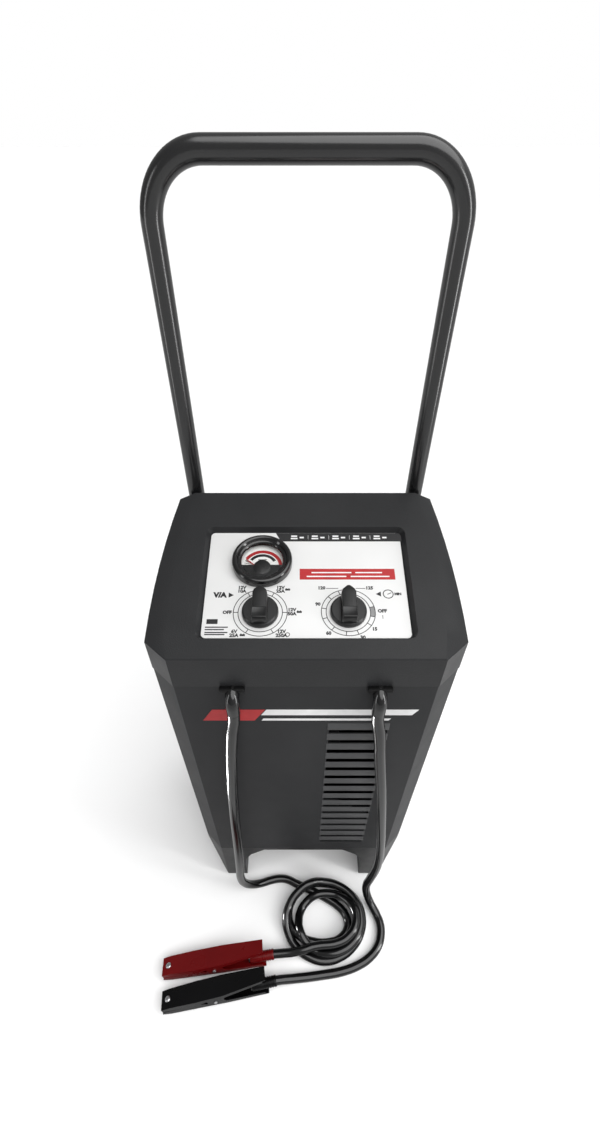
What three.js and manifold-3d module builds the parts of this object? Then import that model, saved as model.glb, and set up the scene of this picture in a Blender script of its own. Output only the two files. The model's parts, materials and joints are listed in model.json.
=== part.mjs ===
// Wheeled tower battery charger: a steel case on a moulded base, a sloped control panel, a tube
// handle, two wheels at the back, and two leads with spring clamps lying on the floor in front.
// Millimetres, +Z up, -Y is the front. The origin is on the floor under the middle of the charger.
import * as THREE from 'three';
import { mergeVertices } from 'three/addons/utils/BufferGeometryUtils.js';
import Module from 'manifold-3d';

const wasm = await Module();
wasm.setup();

// ---- Driving dimensions -------------------------------------------------------------------
const GAP = 0.3; // between pieces that touch
const FRONT = -132.5; // the cap's front face
const DEPTH = 225; // of the case
const CORNER_X = 144.5; // where the front face meets its corner chamfer
const CHAMFER = 27; // depth of the corner chamfer
const WIDEST = 172.6; // half the case width at its widest
const WIDEST_D = 50; // how far behind the front face that is
const BARREL = 15; // how much each side has drawn in at the back
const SHELL_INSET = 0.8; // the steel case sits this far inside the cap's outline
const WALL = 2; // steel
const CAP_WALL = 3; // plastic

const FLOOR_Z = 126; // underside of the base
const BASE_TOP = 137;
const SHELL_TOP = 600;
const CAP_FRONT_Z = 645.3; // top of the cap at its front edge
const SLOPE = Math.atan(0.2586); // of the control panel
const BEVEL_DROP = 10; // from the cap's flat top down to its side edge
const ARCH_WIDTH = 215; // between the front feet, at the floor
const ARCH_TOP_WIDTH = 138;

const RECESS_HALF = 117.7; // the sunk control panel, across and along the slope
const RECESS_LOW = 24.6;
const RECESS_HIGH = 175.9;
const RECESS_DEPTH = 7;
const RECESS_DRAFT = 4.5;
const LABEL_THICK = 0.8;
const METER = [-50, 127];
const SELECTOR = [-50, 60];
const TIMER = [46, 60.5];
const KNOB_R = 20;

const WHEEL_R = 90;
const WHEEL_IN = 174;
const WHEEL_OUT = 200;
const AXLE_Y = 42.5;
const AXLE_R = 6;

const HANDLE_X = 138.9;
const HANDLE_Y = 106.5;
const HANDLE_TOP = 1011.7; // the tube's centre line
const HANDLE_FOOT = 290;
const HANDLE_BEND = 50;
const TUBE_R = 10;
const BOLT_Z = [330, 560];

const LEAD_R = 7.25;
const LEAD_X = 80.4;
const LEAD_Y = -145.5;
const BOOT_END = 570;
const CLAMP = { length: 174, pivot: 88, open: 24, cable: -10.2, roll: 14, pitch: 4.3 };
const RED_CLAMP = { x: -239.6, y: -289.7, z: 13.2, yaw: 7.2 };
const BLACK_CLAMP = { x: -232.5, y: -336.5, z: 13.2, yaw: 9.9 };
const COIL = { x: 38, y: -214, long: 79, across: 70, inner: 30, height: 44, turn: -30 };

// Where each lead runs, from its boot down to the floor and along it.
const POSITIVE_ROUTE = [
  [-80.4, -145.5, 569], [-81.5, -146, 556], [-85.5, -148, 532], [-94.5, -154, 435], [-98.5, -158, 365],
  [-104.5, -162, 227], [-109, -164, 132], [-111.5, -164, 88], [-108.5, -162.3, 52], [-98, -158.3, 27],
  [-80, -151.5, 11], [-61, -145, 7.6], [-44, -142.3, 7.6], [-28.5, -144.3, 7.6], [-14, -150.8, 7.6],
];
const NEGATIVE_ROUTE = [
  [80.4, -145.5, 569], [81.3, -146, 556], [86, -148, 530], [92, -151, 480], [103, -156, 395],
  [113, -160, 305], [121, -163, 225], [125, -164, 165], [124, -164.5, 118], [119.5, -165.5, 82],
  [115.5, -167.5, 54], [117, -173, 31], [124.5, -186, 14], [134, -202, 7.7], [140, -220, 7.6],
  [139, -238, 7.6], [132, -255, 7.6], [116.5, -271, 7.6], [94, -283.5, 7.6], [64, -292.5, 7.6],
  [30, -297.5, 7.6], [4, -300.7, 9.2], [-20, -303.4, 13], [-43.6, -306.1, 17.3],
];
const TAIL_ROUTE = [[-19.5, -266.5, 21], [-33, -267.3, 19.2], [-50.9, -268.3, 17.5]];

const LOUVRE = { rows: 16, low: 168, pitch: 22.8, height: 10, left: 26.6, right: 101 };

// ---- Colours and finishes -----------------------------------------------------------------
const paint = (color, roughness, metalness = 0) =>
  new THREE.MeshStandardMaterial({ color, roughness, metalness });
const finish = {
  case: paint(0x2c2d30, 0.55),
  cap: paint(0x2e2f32, 0.5),
  base: paint(0x303134, 0.6),
  tube: paint(0x0c0c0d, 0.2),
  black: paint(0x111112, 0.45),
  rubber: paint(0x18181a, 0.5),
  label: paint(0xc9cac9, 0.35),
  white: paint(0xe8e8e4, 0.5),
  red: paint(0x9a1414, 0.4),
  steel: paint(0xb4b6b8, 0.35, 1),
  copper: paint(0xa8683a, 0.35, 1),
  aluminium: paint(0xaeb0b3, 0.4, 1),
  iron: paint(0x5a5a5c, 0.6, 1),
  lens: paint(0xdfe6e8, 0.05),
};

// ---- Small tools --------------------------------------------------------------------------
const group = new THREE.Group();
const radians = THREE.MathUtils.degToRad;

function piece(name, geometry, material, parent = group) {
  const mesh = new THREE.Mesh(geometry, material);
  mesh.name = name;
  parent.add(mesh);
  return mesh;
}

// A closed geometry as a solid that can be cut and joined.
function solid(geometry) {
  const bare = geometry.clone();
  bare.deleteAttribute('normal');
  bare.deleteAttribute('uv');
  const merged = mergeVertices(bare, 1e-4);
  const corner = merged.index.array;
  const triangles = [];
  for (let i = 0; i < corner.length; i += 3) {
    const [a, b, c] = [corner[i], corner[i + 1], corner[i + 2]];
    if (a !== b && b !== c && a !== c) triangles.push(a, b, c);
  }
  return new wasm.Manifold(new wasm.Mesh({
    numProp: 3,
    vertProperties: new Float32Array(merged.attributes.position.array),
    triVerts: new Uint32Array(triangles),
  }));
}

function surface(manifold) {
  const mesh = manifold.getMesh();
  const geometry = new THREE.BufferGeometry();
  geometry.setAttribute('position', new THREE.BufferAttribute(new Float32Array(mesh.vertProperties), 3));
  geometry.setIndex(new THREE.BufferAttribute(new Uint32Array(mesh.triVerts), 1));
  geometry.computeVertexNormals();
  return geometry;
}

const join = (first, ...rest) => surface(rest.reduce((all, g) => all.add(solid(g)), solid(first)));
const cut = (body, ...tools) => surface(tools.reduce((left, g) => left.subtract(solid(g)), solid(body)));

function box(x0, x1, y0, y1, z0, z1) {
  return new THREE.BoxGeometry(x1 - x0, y1 - y0, z1 - z0)
    .translate((x0 + x1) / 2, (y0 + y1) / 2, (z0 + z1) / 2);
}

// A rod along one axis, centred on the other two coordinates.
function rod(axis, radius, from, to, [a, b], sides = 16) {
  const geometry = new THREE.CylinderGeometry(radius, radius, to - from, sides);
  const middle = (from + to) / 2;
  if (axis === 'x') return geometry.rotateZ(Math.PI / 2).translate(middle, a, b);
  if (axis === 'y') return geometry.translate(a, middle, b);
  return geometry.rotateX(Math.PI / 2).translate(a, b, middle);
}

// A turned piece: the profile is [radius, height] points, its axis is +Z.
const turned = (profile, sides = 24) =>
  new THREE.LatheGeometry([...profile, profile[0]].map(([r, h]) => new THREE.Vector2(r, h)), sides)
    .rotateX(Math.PI / 2);

// Rings of points, bottom first and counterclockwise from above, skinned and closed at both ends.
function loft(rings) {
  const count = rings[0].length;
  const points = rings.flat().flat();
  const index = [];
  const face = THREE.ShapeUtils.triangulateShape(rings[0].map(([x, y]) => new THREE.Vector2(x, y)), []);
  const top = THREE.ShapeUtils.triangulateShape(rings.at(-1).map(([x, y]) => new THREE.Vector2(x, y)), []);
  face.forEach(([a, b, c]) => index.push(a, c, b));
  const last = (rings.length - 1) * count;
  top.forEach(([a, b, c]) => index.push(last + a, last + b, last + c));
  for (let r = 0; r + 1 < rings.length; r++) {
    for (let i = 0; i < count; i++) {
      const [a, b] = [r * count + i, r * count + (i + 1) % count];
      index.push(a, b, b + count, a, b + count, a + count);
    }
  }
  const geometry = new THREE.BufferGeometry();
  geometry.setAttribute('position', new THREE.Float32BufferAttribute(points, 3));
  geometry.setIndex(index);
  return geometry;
}

function extruded(points, height, holes = []) {
  const shape = new THREE.Shape(points.map(([x, y]) => new THREE.Vector2(x, y)));
  holes.forEach(([x, y, r]) => shape.holes.push(new THREE.Path().absarc(x, y, r, 0, 2 * Math.PI, true)));
  return new THREE.ExtrudeGeometry(shape, { depth: height, bevelEnabled: false, curveSegments: 12 });
}

// A side profile in [x, z], given its thickness along y.
const sideways = (points, y0, y1) =>
  extruded(points, y1 - y0).rotateX(Math.PI / 2).translate(0, y1, 0);

function roundedRectangle(x0, x1, y0, y1, radius, steps = 4) {
  const corners = [[x1 - radius, y0 + radius, -90], [x1 - radius, y1 - radius, 0],
    [x0 + radius, y1 - radius, 90], [x0 + radius, y0 + radius, 180]];
  return corners.flatMap(([x, y, start]) => Array.from({ length: steps + 1 }, (_, i) => {
    const angle = radians(start + 90 * i / steps);
    return [x + radius * Math.cos(angle), y + radius * Math.sin(angle)];
  }));
}

// A path whose stations are exactly the points given.
class Stations extends THREE.Curve {
  constructor(points) {
    super();
    this.points = points;
  }

  getPoint(t) {
    const at = t * (this.points.length - 1);
    const i = Math.min(Math.round(at), this.points.length - 1);
    return this.points[i].clone();
  }

  getPointAt(t) {
    return this.getPoint(t);
  }

  getTangentAt(t) {
    const last = this.points.length - 1;
    const i = Math.round(t * last);
    return this.points[Math.min(i + 1, last)].clone().sub(this.points[Math.max(i - 1, 0)]).normalize();
  }

  getSpacedPoints() {
    return this.points.map((p) => p.clone());
  }
}

function tube(points, radius, sides = 10) {
  const section = Array.from({ length: sides }, (_, i) => {
    const angle = 2 * Math.PI * (i + 0.5) / sides;
    return new THREE.Vector2(radius * Math.cos(angle), radius * Math.sin(angle));
  });
  return new THREE.ExtrudeGeometry(new THREE.Shape(section), {
    steps: points.length - 1,
    extrudePath: new Stations(points),
    bevelEnabled: false,
  });
}

// A lead: a smooth curve through its route, with a station about every two diameters.
function lead(route) {
  const curve = new THREE.CatmullRomCurve3(route.map((p) => new THREE.Vector3(...p)), false, 'centripetal');
  const steps = Math.max(2, Math.ceil(curve.getLength() / (4.2 * LEAD_R)));
  return tube(curve.getSpacedPoints(steps), LEAD_R, 10);
}

// ---- Case outline and control panel frame --------------------------------------------------
const halfWidth = (d) => WIDEST - BARREL * ((d - WIDEST_D) / (DEPTH - WIDEST_D)) ** 2;
const flatHalf = (d) => 148.6 - 12 * ((d - 80) / 145) ** 2; // of the cap's flat top
const topZ = (d) => CAP_FRONT_Z + Math.tan(SLOPE) * d;
const CORNER_TAN = Math.tan(Math.PI / 8); // how a mitred chamfer corner moves as its outline shrinks

// Half of the outline, front to back, as [x, depth], drawn in by t.
function halfPlan(t, steps = 6) {
  const side = Array.from({ length: steps + 1 }, (_, i) => {
    const d = THREE.MathUtils.lerp(CHAMFER + CORNER_TAN * t, DEPTH - t, i / steps);
    return [halfWidth(d) - t, d];
  });
  return [[CORNER_X - CORNER_TAN * t, t], ...side];
}

const bothSides = (half) => [...half, ...half.slice().reverse().map(([x, ...rest]) => [-x, ...rest])];
const plan = (t) => bothSides(halfPlan(t)).map(([x, d]) => [x, FRONT + d]);
const ring = (outline, z) => outline.map(([x, y]) => [x, y, z]);

// Panel coordinates: x across, y up the slope from the cap's front edge, z out of the panel.
const panel = new THREE.Group();
panel.position.set(0, FRONT, CAP_FRONT_Z);
panel.rotation.x = SLOPE;
group.add(panel);
panel.updateMatrix();
const onPanel = (geometry) => geometry.applyMatrix4(panel.matrix);

// ---- Case ----------------------------------------------------------------------------------
function capSkin(inset, lift) {
  const half = halfPlan(inset);
  const edge = half.map(([x, d], i) => [x, FRONT + d, topZ(d) - lift - (i ? BEVEL_DROP : 1.2)]);
  const flat = half.map(([x, d], i) => {
    const depth = i ? Math.min(d, DEPTH - inset - 1.5) : d + 1.2;
    return [i ? flatHalf(d) - inset : x - 1, FRONT + depth, topZ(depth) - lift];
  });
  return [bothSides(edge), bothSides(flat)];
}

function topCap() {
  const outer = loft([ring(plan(0), SHELL_TOP + GAP), ...capSkin(0, 0)]);
  const hollow = solid(loft([ring(plan(CAP_WALL), SHELL_TOP - 5), ...capSkin(CAP_WALL, CAP_WALL + 0.5)]));
  const well = solid(onPanel(box(-RECESS_HALF - 1, RECESS_HALF + 1, RECESS_LOW - 2, RECESS_HIGH + 2,
    -RECESS_DEPTH - CAP_WALL, 5)));
  const recess = (t, z) => roundedRectangle(-RECESS_HALF + t, RECESS_HALF - t, RECESS_LOW + t * 0.6,
    RECESS_HIGH - t * 0.8, 9 - t).map(([x, y]) => [x, y, z]);
  const pocket = onPanel(loft([recess(RECESS_DRAFT, -RECESS_DEPTH), recess(-0.6, 1)]));
  let cap = solid(outer).subtract(hollow.subtract(well)).subtract(solid(pocket));
  [[...METER, 30.4], [...SELECTOR, 4], [...TIMER, 4]].forEach(([x, y, r]) => {
    cap = cap.subtract(solid(onPanel(rod('z', r, -20, 2, [x, y], 24))));
  });
  return surface(cap);
}

function controlLabel() {
  const half = RECESS_HALF - RECESS_DRAFT - 1;
  const outline = roundedRectangle(-half, half, RECESS_LOW + 3.6, RECESS_HIGH - 4.6, 5);
  return extruded(outline, LABEL_THICK, [[...METER, 30.4], [...SELECTOR, 4], [...TIMER, 4]])
    .translate(0, 0, -RECESS_DEPTH + GAP);
}

function frontShell() {
  const outer = halfPlan(SHELL_INSET);
  const inner = halfPlan(SHELL_INSET + WALL);
  inner[inner.length - 1] = [inner.at(-1)[0], DEPTH - SHELL_INSET];
  const mirror = (half) => half.map(([x, d]) => [-x, d]).reverse();
  const wrap = [...mirror(outer), ...outer, ...inner.slice().reverse(), ...mirror(inner).reverse()]
    .map(([x, d]) => [x, FRONT + d]);
  const wall = extruded(wrap, SHELL_TOP - BASE_TOP - GAP).translate(0, 0, BASE_TOP + GAP);
  const slots = Array.from({ length: LOUVRE.rows }, (_, i) => {
    const low = LOUVRE.low + i * LOUVRE.pitch - LOUVRE.height / 2;
    return box(LOUVRE.left + 2, LOUVRE.right - 2, FRONT - 5, FRONT + 6, low, low + LOUVRE.height);
  });
  return cut(wall, ...slots);
}

function rearPanel() {
  const half = halfWidth(DEPTH) - SHELL_INSET - WALL - GAP;
  const back = FRONT + DEPTH - SHELL_INSET;
  const plate = box(-half, half, back - WALL, back, BASE_TOP + GAP, SHELL_TOP);
  const bosses = BOLT_Z.flatMap((z) => [-HANDLE_X, HANDLE_X].map((x) =>
    rod('y', 8, back - 1, HANDLE_Y - TUBE_R - GAP, [x, z])));
  const boltHole = (x, z) => rod('y', 3.6, back - 9, back + 9, [x, z]);
  const holes = BOLT_Z.flatMap((z) => [boltHole(-HANDLE_X, z), boltHole(HANDLE_X, z)]);
  const vents = Array.from({ length: 8 }, (_, i) => [-62, 62].map((x) => {
    const z = 230 + i * 18;
    return box(x - 42, x + 42, back - 9, back + 9, z, z + 6);
  })).flat();
  const inlet = rod('y', 9.3, back - 9, back + 9, [0, 190]);
  return cut(join(plate, ...bosses), ...holes, ...vents, inlet);
}

// The moulded base: a floor, two front feet with an arch between them, and two axle lugs.
function baseTray() {
  const block = loft([ring(plan(SHELL_INSET), 5 + GAP), ring(plan(SHELL_INSET), BASE_TOP)]);
  const archProfile = [];
  const [low, high] = [ARCH_WIDTH / 2, ARCH_TOP_WIDTH / 2];
  archProfile.push([-low, -1], [low, -1], [low, 52], [low - 4, 82], [low - 14, 104], [high, FLOOR_Z],
    [-high, FLOOR_Z], [-low + 14, 104], [-low + 4, 82], [-low, 52]);
  const arch = sideways(archProfile, FRONT - 9, FRONT + DEPTH + 9);
  const behind = box(-200, 200, FRONT + 44, FRONT + DEPTH + 9, -1, FLOOR_Z);
  // Outside each foot the chamfer is cut away on a slant, so its lower edge climbs to the case side.
  const slant = (side) => {
    const keep = [[CORNER_X - 3, 0], [CORNER_X + 2, 5], [WIDEST + 1, FLOOR_Z + 6], [WIDEST + 30, FLOOR_Z + 6],
      [WIDEST + 30, -1], [CORNER_X - 3, -1]];
    const wedge = sideways(keep, FRONT - 9, FRONT + DEPTH);
    return side > 0 ? wedge : wedge.rotateZ(Math.PI).translate(0, 2 * FRONT + DEPTH - 9, 0);
  };
  const lug = (x) => sideways([[x - 6, 72], [x + 6, 72], [x + 6, FLOOR_Z + 2], [x - 6, FLOOR_Z + 2]],
    AXLE_Y - 22, AXLE_Y + 22);
  const tray = solid(cut(block, arch, behind, slant(1), slant(-1)));
  const lugs = [-132, 132].reduce((all, x) => all.add(solid(lug(x))), tray);
  const hollow = loft([ring(plan(8), BASE_TOP - 6), ring(plan(8), BASE_TOP + 5)]);
  return surface(lugs.subtract(solid(hollow))
    .subtract(solid(rod('x', AXLE_R + 0.4, -160, 160, [AXLE_Y, WHEEL_R], 20))));
}

function buildCase() {
  piece('top_cap', topCap(), finish.cap);
  piece('control_label', controlLabel(), finish.label, panel);
  piece('front_shell', frontShell(), finish.case);
  piece('rear_panel', rearPanel(), finish.case);
  piece('base_tray', baseTray(), finish.base);
  [['left_foot', -1], ['right_foot', 1]].forEach(([name, side]) => {
    const [a, b] = [side * 112, side * 138].sort((p, q) => p - q);
    piece(name, box(a, b, FRONT + 4, FRONT + 36, 0, 5), finish.rubber);
  });
  const back = FRONT + DEPTH - SHELL_INSET;
  const gland = turned([[4.2, -12], [8.8, -12], [8.8, 2.4], [13, 2.4], [13, 5], [8, 14], [4.2, 14]], 20)
    .rotateX(-Math.PI / 2).translate(0, back - 2, 190);
  piece('mains_gland', gland, finish.black);
}

// ---- Inside the case -----------------------------------------------------------------------
function buildInside() {
  const coreLow = BASE_TOP + 8;
  const window0 = 15;
  const floor = BASE_TOP - 6 + GAP;
  const core = cut(box(-65, 65, -60, 40, coreLow, coreLow + 110),
    box(window0, 49, -70, 50, coreLow + 20, coreLow + 90),
    box(-49, -window0, -70, 50, coreLow + 20, coreLow + 90));
  piece('transformer_core', core, finish.iron);
  [['primary_winding', 21], ['secondary_winding', 56]].forEach(([name, z], i) => {
    const winding = cut(box(-32, 32, -77, 57, coreLow + z, coreLow + z + 33),
      box(-window0 - 0.6, window0 + 0.6, -60.6, 40.6, coreLow + z - 5, coreLow + z + 40));
    piece(name, winding, i ? finish.aluminium : finish.copper);
  });
  const flange = box(-92, 92, -45, 25, floor, floor + 4);
  const saddle = box(-70, 70, -40, 20, floor, coreLow - GAP);
  piece('transformer_bracket', join(flange, saddle), finish.steel);
  const back = FRONT + DEPTH - SHELL_INSET - WALL - GAP;
  const posts = [-80, 0].flatMap((x) => [395, 485].map((z) => rod('y', 4, 72, back, [x, z], 12)));
  piece('rectifier_plate', join(box(-90, 10, 70, 74, 380, 500), ...posts), finish.aluminium);
  piece('rectifier_diode_1', rod('y', 12, 56, 70 - GAP, [-62, 440], 20), finish.steel);
  piece('rectifier_diode_2', rod('y', 12, 56, 70 - GAP, [-18, 440], 20), finish.steel);
  piece('circuit_breaker', box(55, 88, 56, back, 420, 455), finish.black);
}

// ---- Control panel --------------------------------------------------------------------------
const ON_LABEL = -RECESS_DEPTH + 2 * GAP + LABEL_THICK;

function knob() {
  const disc = turned([[0, ON_LABEL], [KNOB_R, ON_LABEL], [KNOB_R, -1.5], [KNOB_R - 1.2, 0], [0, 0]], 32);
  const grip = [[-8.5, -17.5], [8.5, -17.5], [8.5, 12], [5.5, 20], [0, 24.5], [-5.5, 20], [-8.5, 12]];
  const bar = extruded(grip, 15).translate(0, 0, -2);
  return cut(join(disc, bar), rod('z', 3 + GAP, ON_LABEL - 2, 4, [0, 0], 16));
}

function buildControls() {
  const under = -RECESS_DEPTH - CAP_WALL - GAP;
  [['selector', SELECTOR, 'switch'], ['timer', TIMER, 'body']].forEach(([name, [x, y], below]) => {
    piece(`${name}_knob`, knob().translate(x, y, 0), finish.black, panel);
    piece(`${name}_shaft`, rod('z', 3, under - 3, 3.5, [x, y], 12), finish.steel, panel);
    const housing = below === 'switch'
      ? turned([[0, under - 34], [24, under - 34], [24, under], [4, under], [4, under - 3.5], [0, under - 3.5]], 24)
      : cut(box(-22, 22, -24, 24, under - 38, under), rod('z', 4, under - 3.5, under + 2, [0, 0], 12));
    piece(`${name}_${below}`, housing.translate(x, y, 0), finish.black, panel);
  });
  const [x, y] = METER;
  const place = (geometry) => geometry.translate(x, y, 0);
  const can = [[0, -34], [29.8, -34], [29.8, -1.95], [27.4, -1.95], [27.4, -31], [0, -31]];
  piece('meter_housing', place(turned(can, 32)), finish.black, panel);
  const rim = [
    [30.6, ON_LABEL], [34.5, ON_LABEL], [34.5, 2.5], [33, 4.5], [29.5, 4.5], [28, 2.5], [25, 1.5], [23.6, 0],
    [23.6, -1.6], [30.6, -1.6],
  ];
  piece('meter_bezel', place(turned(rim, 36)), finish.black, panel);
  piece('meter_dial', place(rod('z', 26.8, -7.5, -6.9, [0, 0], 32)), finish.white, panel);
  piece('meter_lens', place(rod('z', 26.8, -2.9, -1.95, [0, 0], 32)), finish.lens, panel);
  const needle = join(rod('z', 2.4, -6.6, -4.4, [0, 0], 12), box(-0.6, 25.5, -0.6, 0.6, -5.6, -5));
  const needlePlace = piece('meter_needle', needle, finish.black, panel);
  needlePlace.position.set(x, y - 12, 0);
  needlePlace.rotation.z = radians(138);
}

// ---- Handle and wheels ----------------------------------------------------------------------
function handlePath(radiusSteps = 7) {
  const corner = (side, from, to) => Array.from({ length: radiusSteps + 1 }, (_, i) => {
    const angle = radians(from + (to - from) * i / radiusSteps);
    return new THREE.Vector3(side * (HANDLE_X - HANDLE_BEND) + HANDLE_BEND * Math.cos(angle), HANDLE_Y,
      HANDLE_TOP - HANDLE_BEND + HANDLE_BEND * Math.sin(angle));
  });
  const foot = (side) => new THREE.Vector3(side * HANDLE_X, HANDLE_Y, HANDLE_FOOT);
  return [foot(-1), ...corner(-1, 180, 90), ...corner(1, 90, 0), foot(1)];
}

function buildHandle() {
  const path = handlePath();
  const below = (point) => point.clone().setZ(HANDLE_FOOT - 5);
  const bore = [below(path[0]), ...path.slice(1, -1), below(path.at(-1))];
  const holes = BOLT_Z.flatMap((z) => [-HANDLE_X, HANDLE_X].map((x) =>
    rod('y', 3.6, HANDLE_Y - 15, HANDLE_Y + 15, [x, z], 12)));
  piece('handle_tube', cut(tube(path, TUBE_R, 16), tube(bore, TUBE_R - 1.6, 12), ...holes), finish.tube);
  let number = 0;
  BOLT_Z.forEach((z) => [-HANDLE_X, HANDLE_X].forEach((x) => {
    number += 1;
    const head = rod('y', 6.5, HANDLE_Y + TUBE_R + GAP, HANDLE_Y + TUBE_R + 4.5, [x, z], 6);
    const shank = rod('y', 3.2, HANDLE_Y - 25, HANDLE_Y + TUBE_R + 2, [x, z], 12);
    piece(`handle_bolt_${number}`, join(head, shank), finish.steel);
  }));
}

function buildWheels() {
  piece('axle', rod('x', AXLE_R, -WHEEL_OUT - 2, WHEEL_OUT + 2, [AXLE_Y, WHEEL_R], 20), finish.steel);
  const middle = (WHEEL_IN + WHEEL_OUT) / 2;
  const hubProfile = [[AXLE_R + 0.4, -13], [16, -13], [18, -6], [50, -4], [54, -11], [62, -11], [62, 11], [54, 11],
    [50, 4], [18, 6], [16, 13], [AXLE_R + 0.4, 13]];
  const tyreHalf = [[62.3, -11], [76, -13], [85, -11.5], [89, -6]];
  const tyreProfile = [...tyreHalf, [WHEEL_R, 0], ...tyreHalf.map(([r, z]) => [r, -z]).reverse()];
  const onAxle = (geometry, x) => geometry.rotateY(Math.PI / 2).translate(x, AXLE_Y, WHEEL_R);
  [['left', -1], ['right', 1]].forEach(([name, side]) => {
    piece(`${name}_hub`, onAxle(turned(hubProfile, 28), side * middle), finish.black);
    piece(`${name}_tyre`, onAxle(turned(tyreProfile, 32), side * middle), finish.rubber);
    const cap = turned([[0, WHEEL_OUT + 2 + GAP], [AXLE_R + GAP, WHEEL_OUT + 2 + GAP], [AXLE_R + GAP, WHEEL_OUT + GAP],
      [13, WHEEL_OUT + GAP], [12, WHEEL_OUT + 5], [0, WHEEL_OUT + 6]], 20).rotateY(side * Math.PI / 2);
    piece(`${name}_axle_cap`, cap.translate(0, AXLE_Y, WHEEL_R), finish.black);
  });
}

// ---- Leads and clamps -----------------------------------------------------------------------
// The boot: a flange bar on the cap's lower edge, and an elbow that turns the lead down.
function boot(x) {
  const bar = box(x - 12.8, x + 12.8, FRONT - 7.5, FRONT - GAP, 599, 609);
  const radius = FRONT - GAP - LEAD_Y;
  const arc = Array.from({ length: 7 }, (_, i) => {
    const angle = radians(90 + 15 * i);
    return new THREE.Vector3(x, FRONT - GAP + radius * Math.cos(angle), 582 + radius * Math.sin(angle));
  });
  const elbow = tube([...arc, new THREE.Vector3(x, LEAD_Y, BOOT_END)], LEAD_R + 0.9, 14);
  const neck = box(x - 6, x + 6, FRONT - 7.5, FRONT - GAP, 590, 600);
  return join(bar, elbow, neck);
}

// A clamp lies along +X from its jaw tips at 0, with the jaws' meeting line at height 0.
function clampArm(outer) {
  const ear = outer ? 15.9 : 13.9; // outer face of the pivot ears
  const { length, pivot, open } = CLAMP;
  const sheet = 1.8;
  const upper = [[0, 7], [14, 10.5], [60, 13], [pivot + 8, 15], [length, open]];
  const lower = upper.map(([x, z]) => [x, z - sheet]).reverse();
  const plate = sideways([...upper, ...lower].reverse(), -17, 17);
  const sides = [[1, 1.2], [60, 1.2], [pivot - 14, 6], [pivot - 9, -6], [pivot + 9, -6], [pivot + 16, 8],
    [length - 6, open - 7], [length - 6, open - 1], [pivot + 8, 14.4], [60, 12.4], [14, 9.9], [1, 6.6]];
  const wall = (y0, y1) => sideways(sides.slice().reverse(), y0, y1);
  const outline = [[0, -14], [58, -ear], [pivot + 14, -ear], [length, -10.5], [length, 10.5], [pivot + 14, ear],
    [58, ear], [0, 14]];
  const trim = extruded(outline, 60).translate(0, 0, -20);
  const inside = outline.map(([x, y]) => [x + (x ? 0 : -5) + (x === length ? 5 : 0), y - Math.sign(y) * 1.6]);
  const channel = solid(wall(-17, 17)).subtract(solid(extruded(inside, 60).translate(0, 0, -20)));
  const arm = solid(plate).add(channel).intersect(solid(trim))
    .subtract(solid(rod('y', 3.1, -30, 30, [pivot, 0], 16)));
  return surface(outer ? arm : arm.mirror([0, 0, 1]));
}

function jawInsert() {
  const teeth = [];
  for (let x = 4; x < 46; x += 7) teeth.push([x, 0.4], [x + 3.5, 2.4]);
  return sideways([...teeth, [46, 0.4], [46, 5.2], [4, 5.2]].reverse(), -8, 8);
}

function pivotSpring() {
  const turns = 4;
  const steps = turns * 10;
  const points = Array.from({ length: steps + 1 }, (_, i) => {
    const angle = 2 * Math.PI * turns * i / steps;
    return new THREE.Vector3(CLAMP.pivot + 5.4 * Math.cos(angle), -7 + 14 * i / steps, 5.4 * Math.sin(angle));
  });
  return tube(points, 1, 6);
}

function buildClamp(name, place, colour) {
  const clamp = new THREE.Group();
  clamp.position.set(place.x, place.y, place.z);
  clamp.rotation.set(-radians(CLAMP.roll), -radians(CLAMP.pitch), radians(place.yaw), 'ZYX');
  group.add(clamp);
  piece(`${name}_upper_arm`, clampArm(true), colour, clamp);
  piece(`${name}_lower_arm`, clampArm(false), colour, clamp);
  piece(`${name}_upper_jaw`, jawInsert(), finish.copper, clamp);
  piece(`${name}_lower_jaw`, surface(solid(jawInsert()).mirror([0, 0, 1])), finish.copper, clamp);
  piece(`${name}_pin`, rod('y', 2.8, -17.5, 17.5, [CLAMP.pivot, 0], 16), finish.steel, clamp);
  piece(`${name}_spring`, pivotSpring(), finish.steel, clamp);
  piece(`${name}_collar`, rod('x', 8.6, CLAMP.length - 26, CLAMP.length + 15, [0, CLAMP.cable], 16), colour, clamp);
}

function buildLeads() {
  piece('positive_boot', boot(-LEAD_X), finish.black);
  piece('negative_boot', boot(LEAD_X), finish.black);
  piece('positive_lead', lead(POSITIVE_ROUTE), finish.rubber);
  piece('negative_lead', lead(NEGATIVE_ROUTE), finish.rubber);
  piece('positive_tail', lead(TAIL_ROUTE), finish.rubber);
  const { across, inner, height } = COIL;
  const coilProfile = [
    [inner, 0.4], [across - 3, 0.4], [across, 8], [across, 20], [across - 12, 38], [across - 22, height],
    [inner + 6, height], [inner, 32],
  ];
  const coil = turned(coilProfile, 28).scale(COIL.long / across, 1, 1);
  const coilPlace = piece('positive_coil', coil, finish.rubber);
  coilPlace.position.set(COIL.x, COIL.y, 0);
  coilPlace.rotation.z = radians(COIL.turn);
  buildClamp('red_clamp', RED_CLAMP, finish.red);
  buildClamp('black_clamp', BLACK_CLAMP, finish.black);
}

buildCase();
buildInside();
buildControls();
buildHandle();
buildWheels();
buildLeads();

export default group;
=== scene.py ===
"""A wheeled tower battery charger: a steel case under a moulded cap with a sunk control panel, a tube
handle, two wheels, and a pair of leads with spring clamps. Metres, +Z up, -Y is the front."""

import json
import math

import bmesh
import bpy
from mathutils import Matrix, Vector

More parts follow.
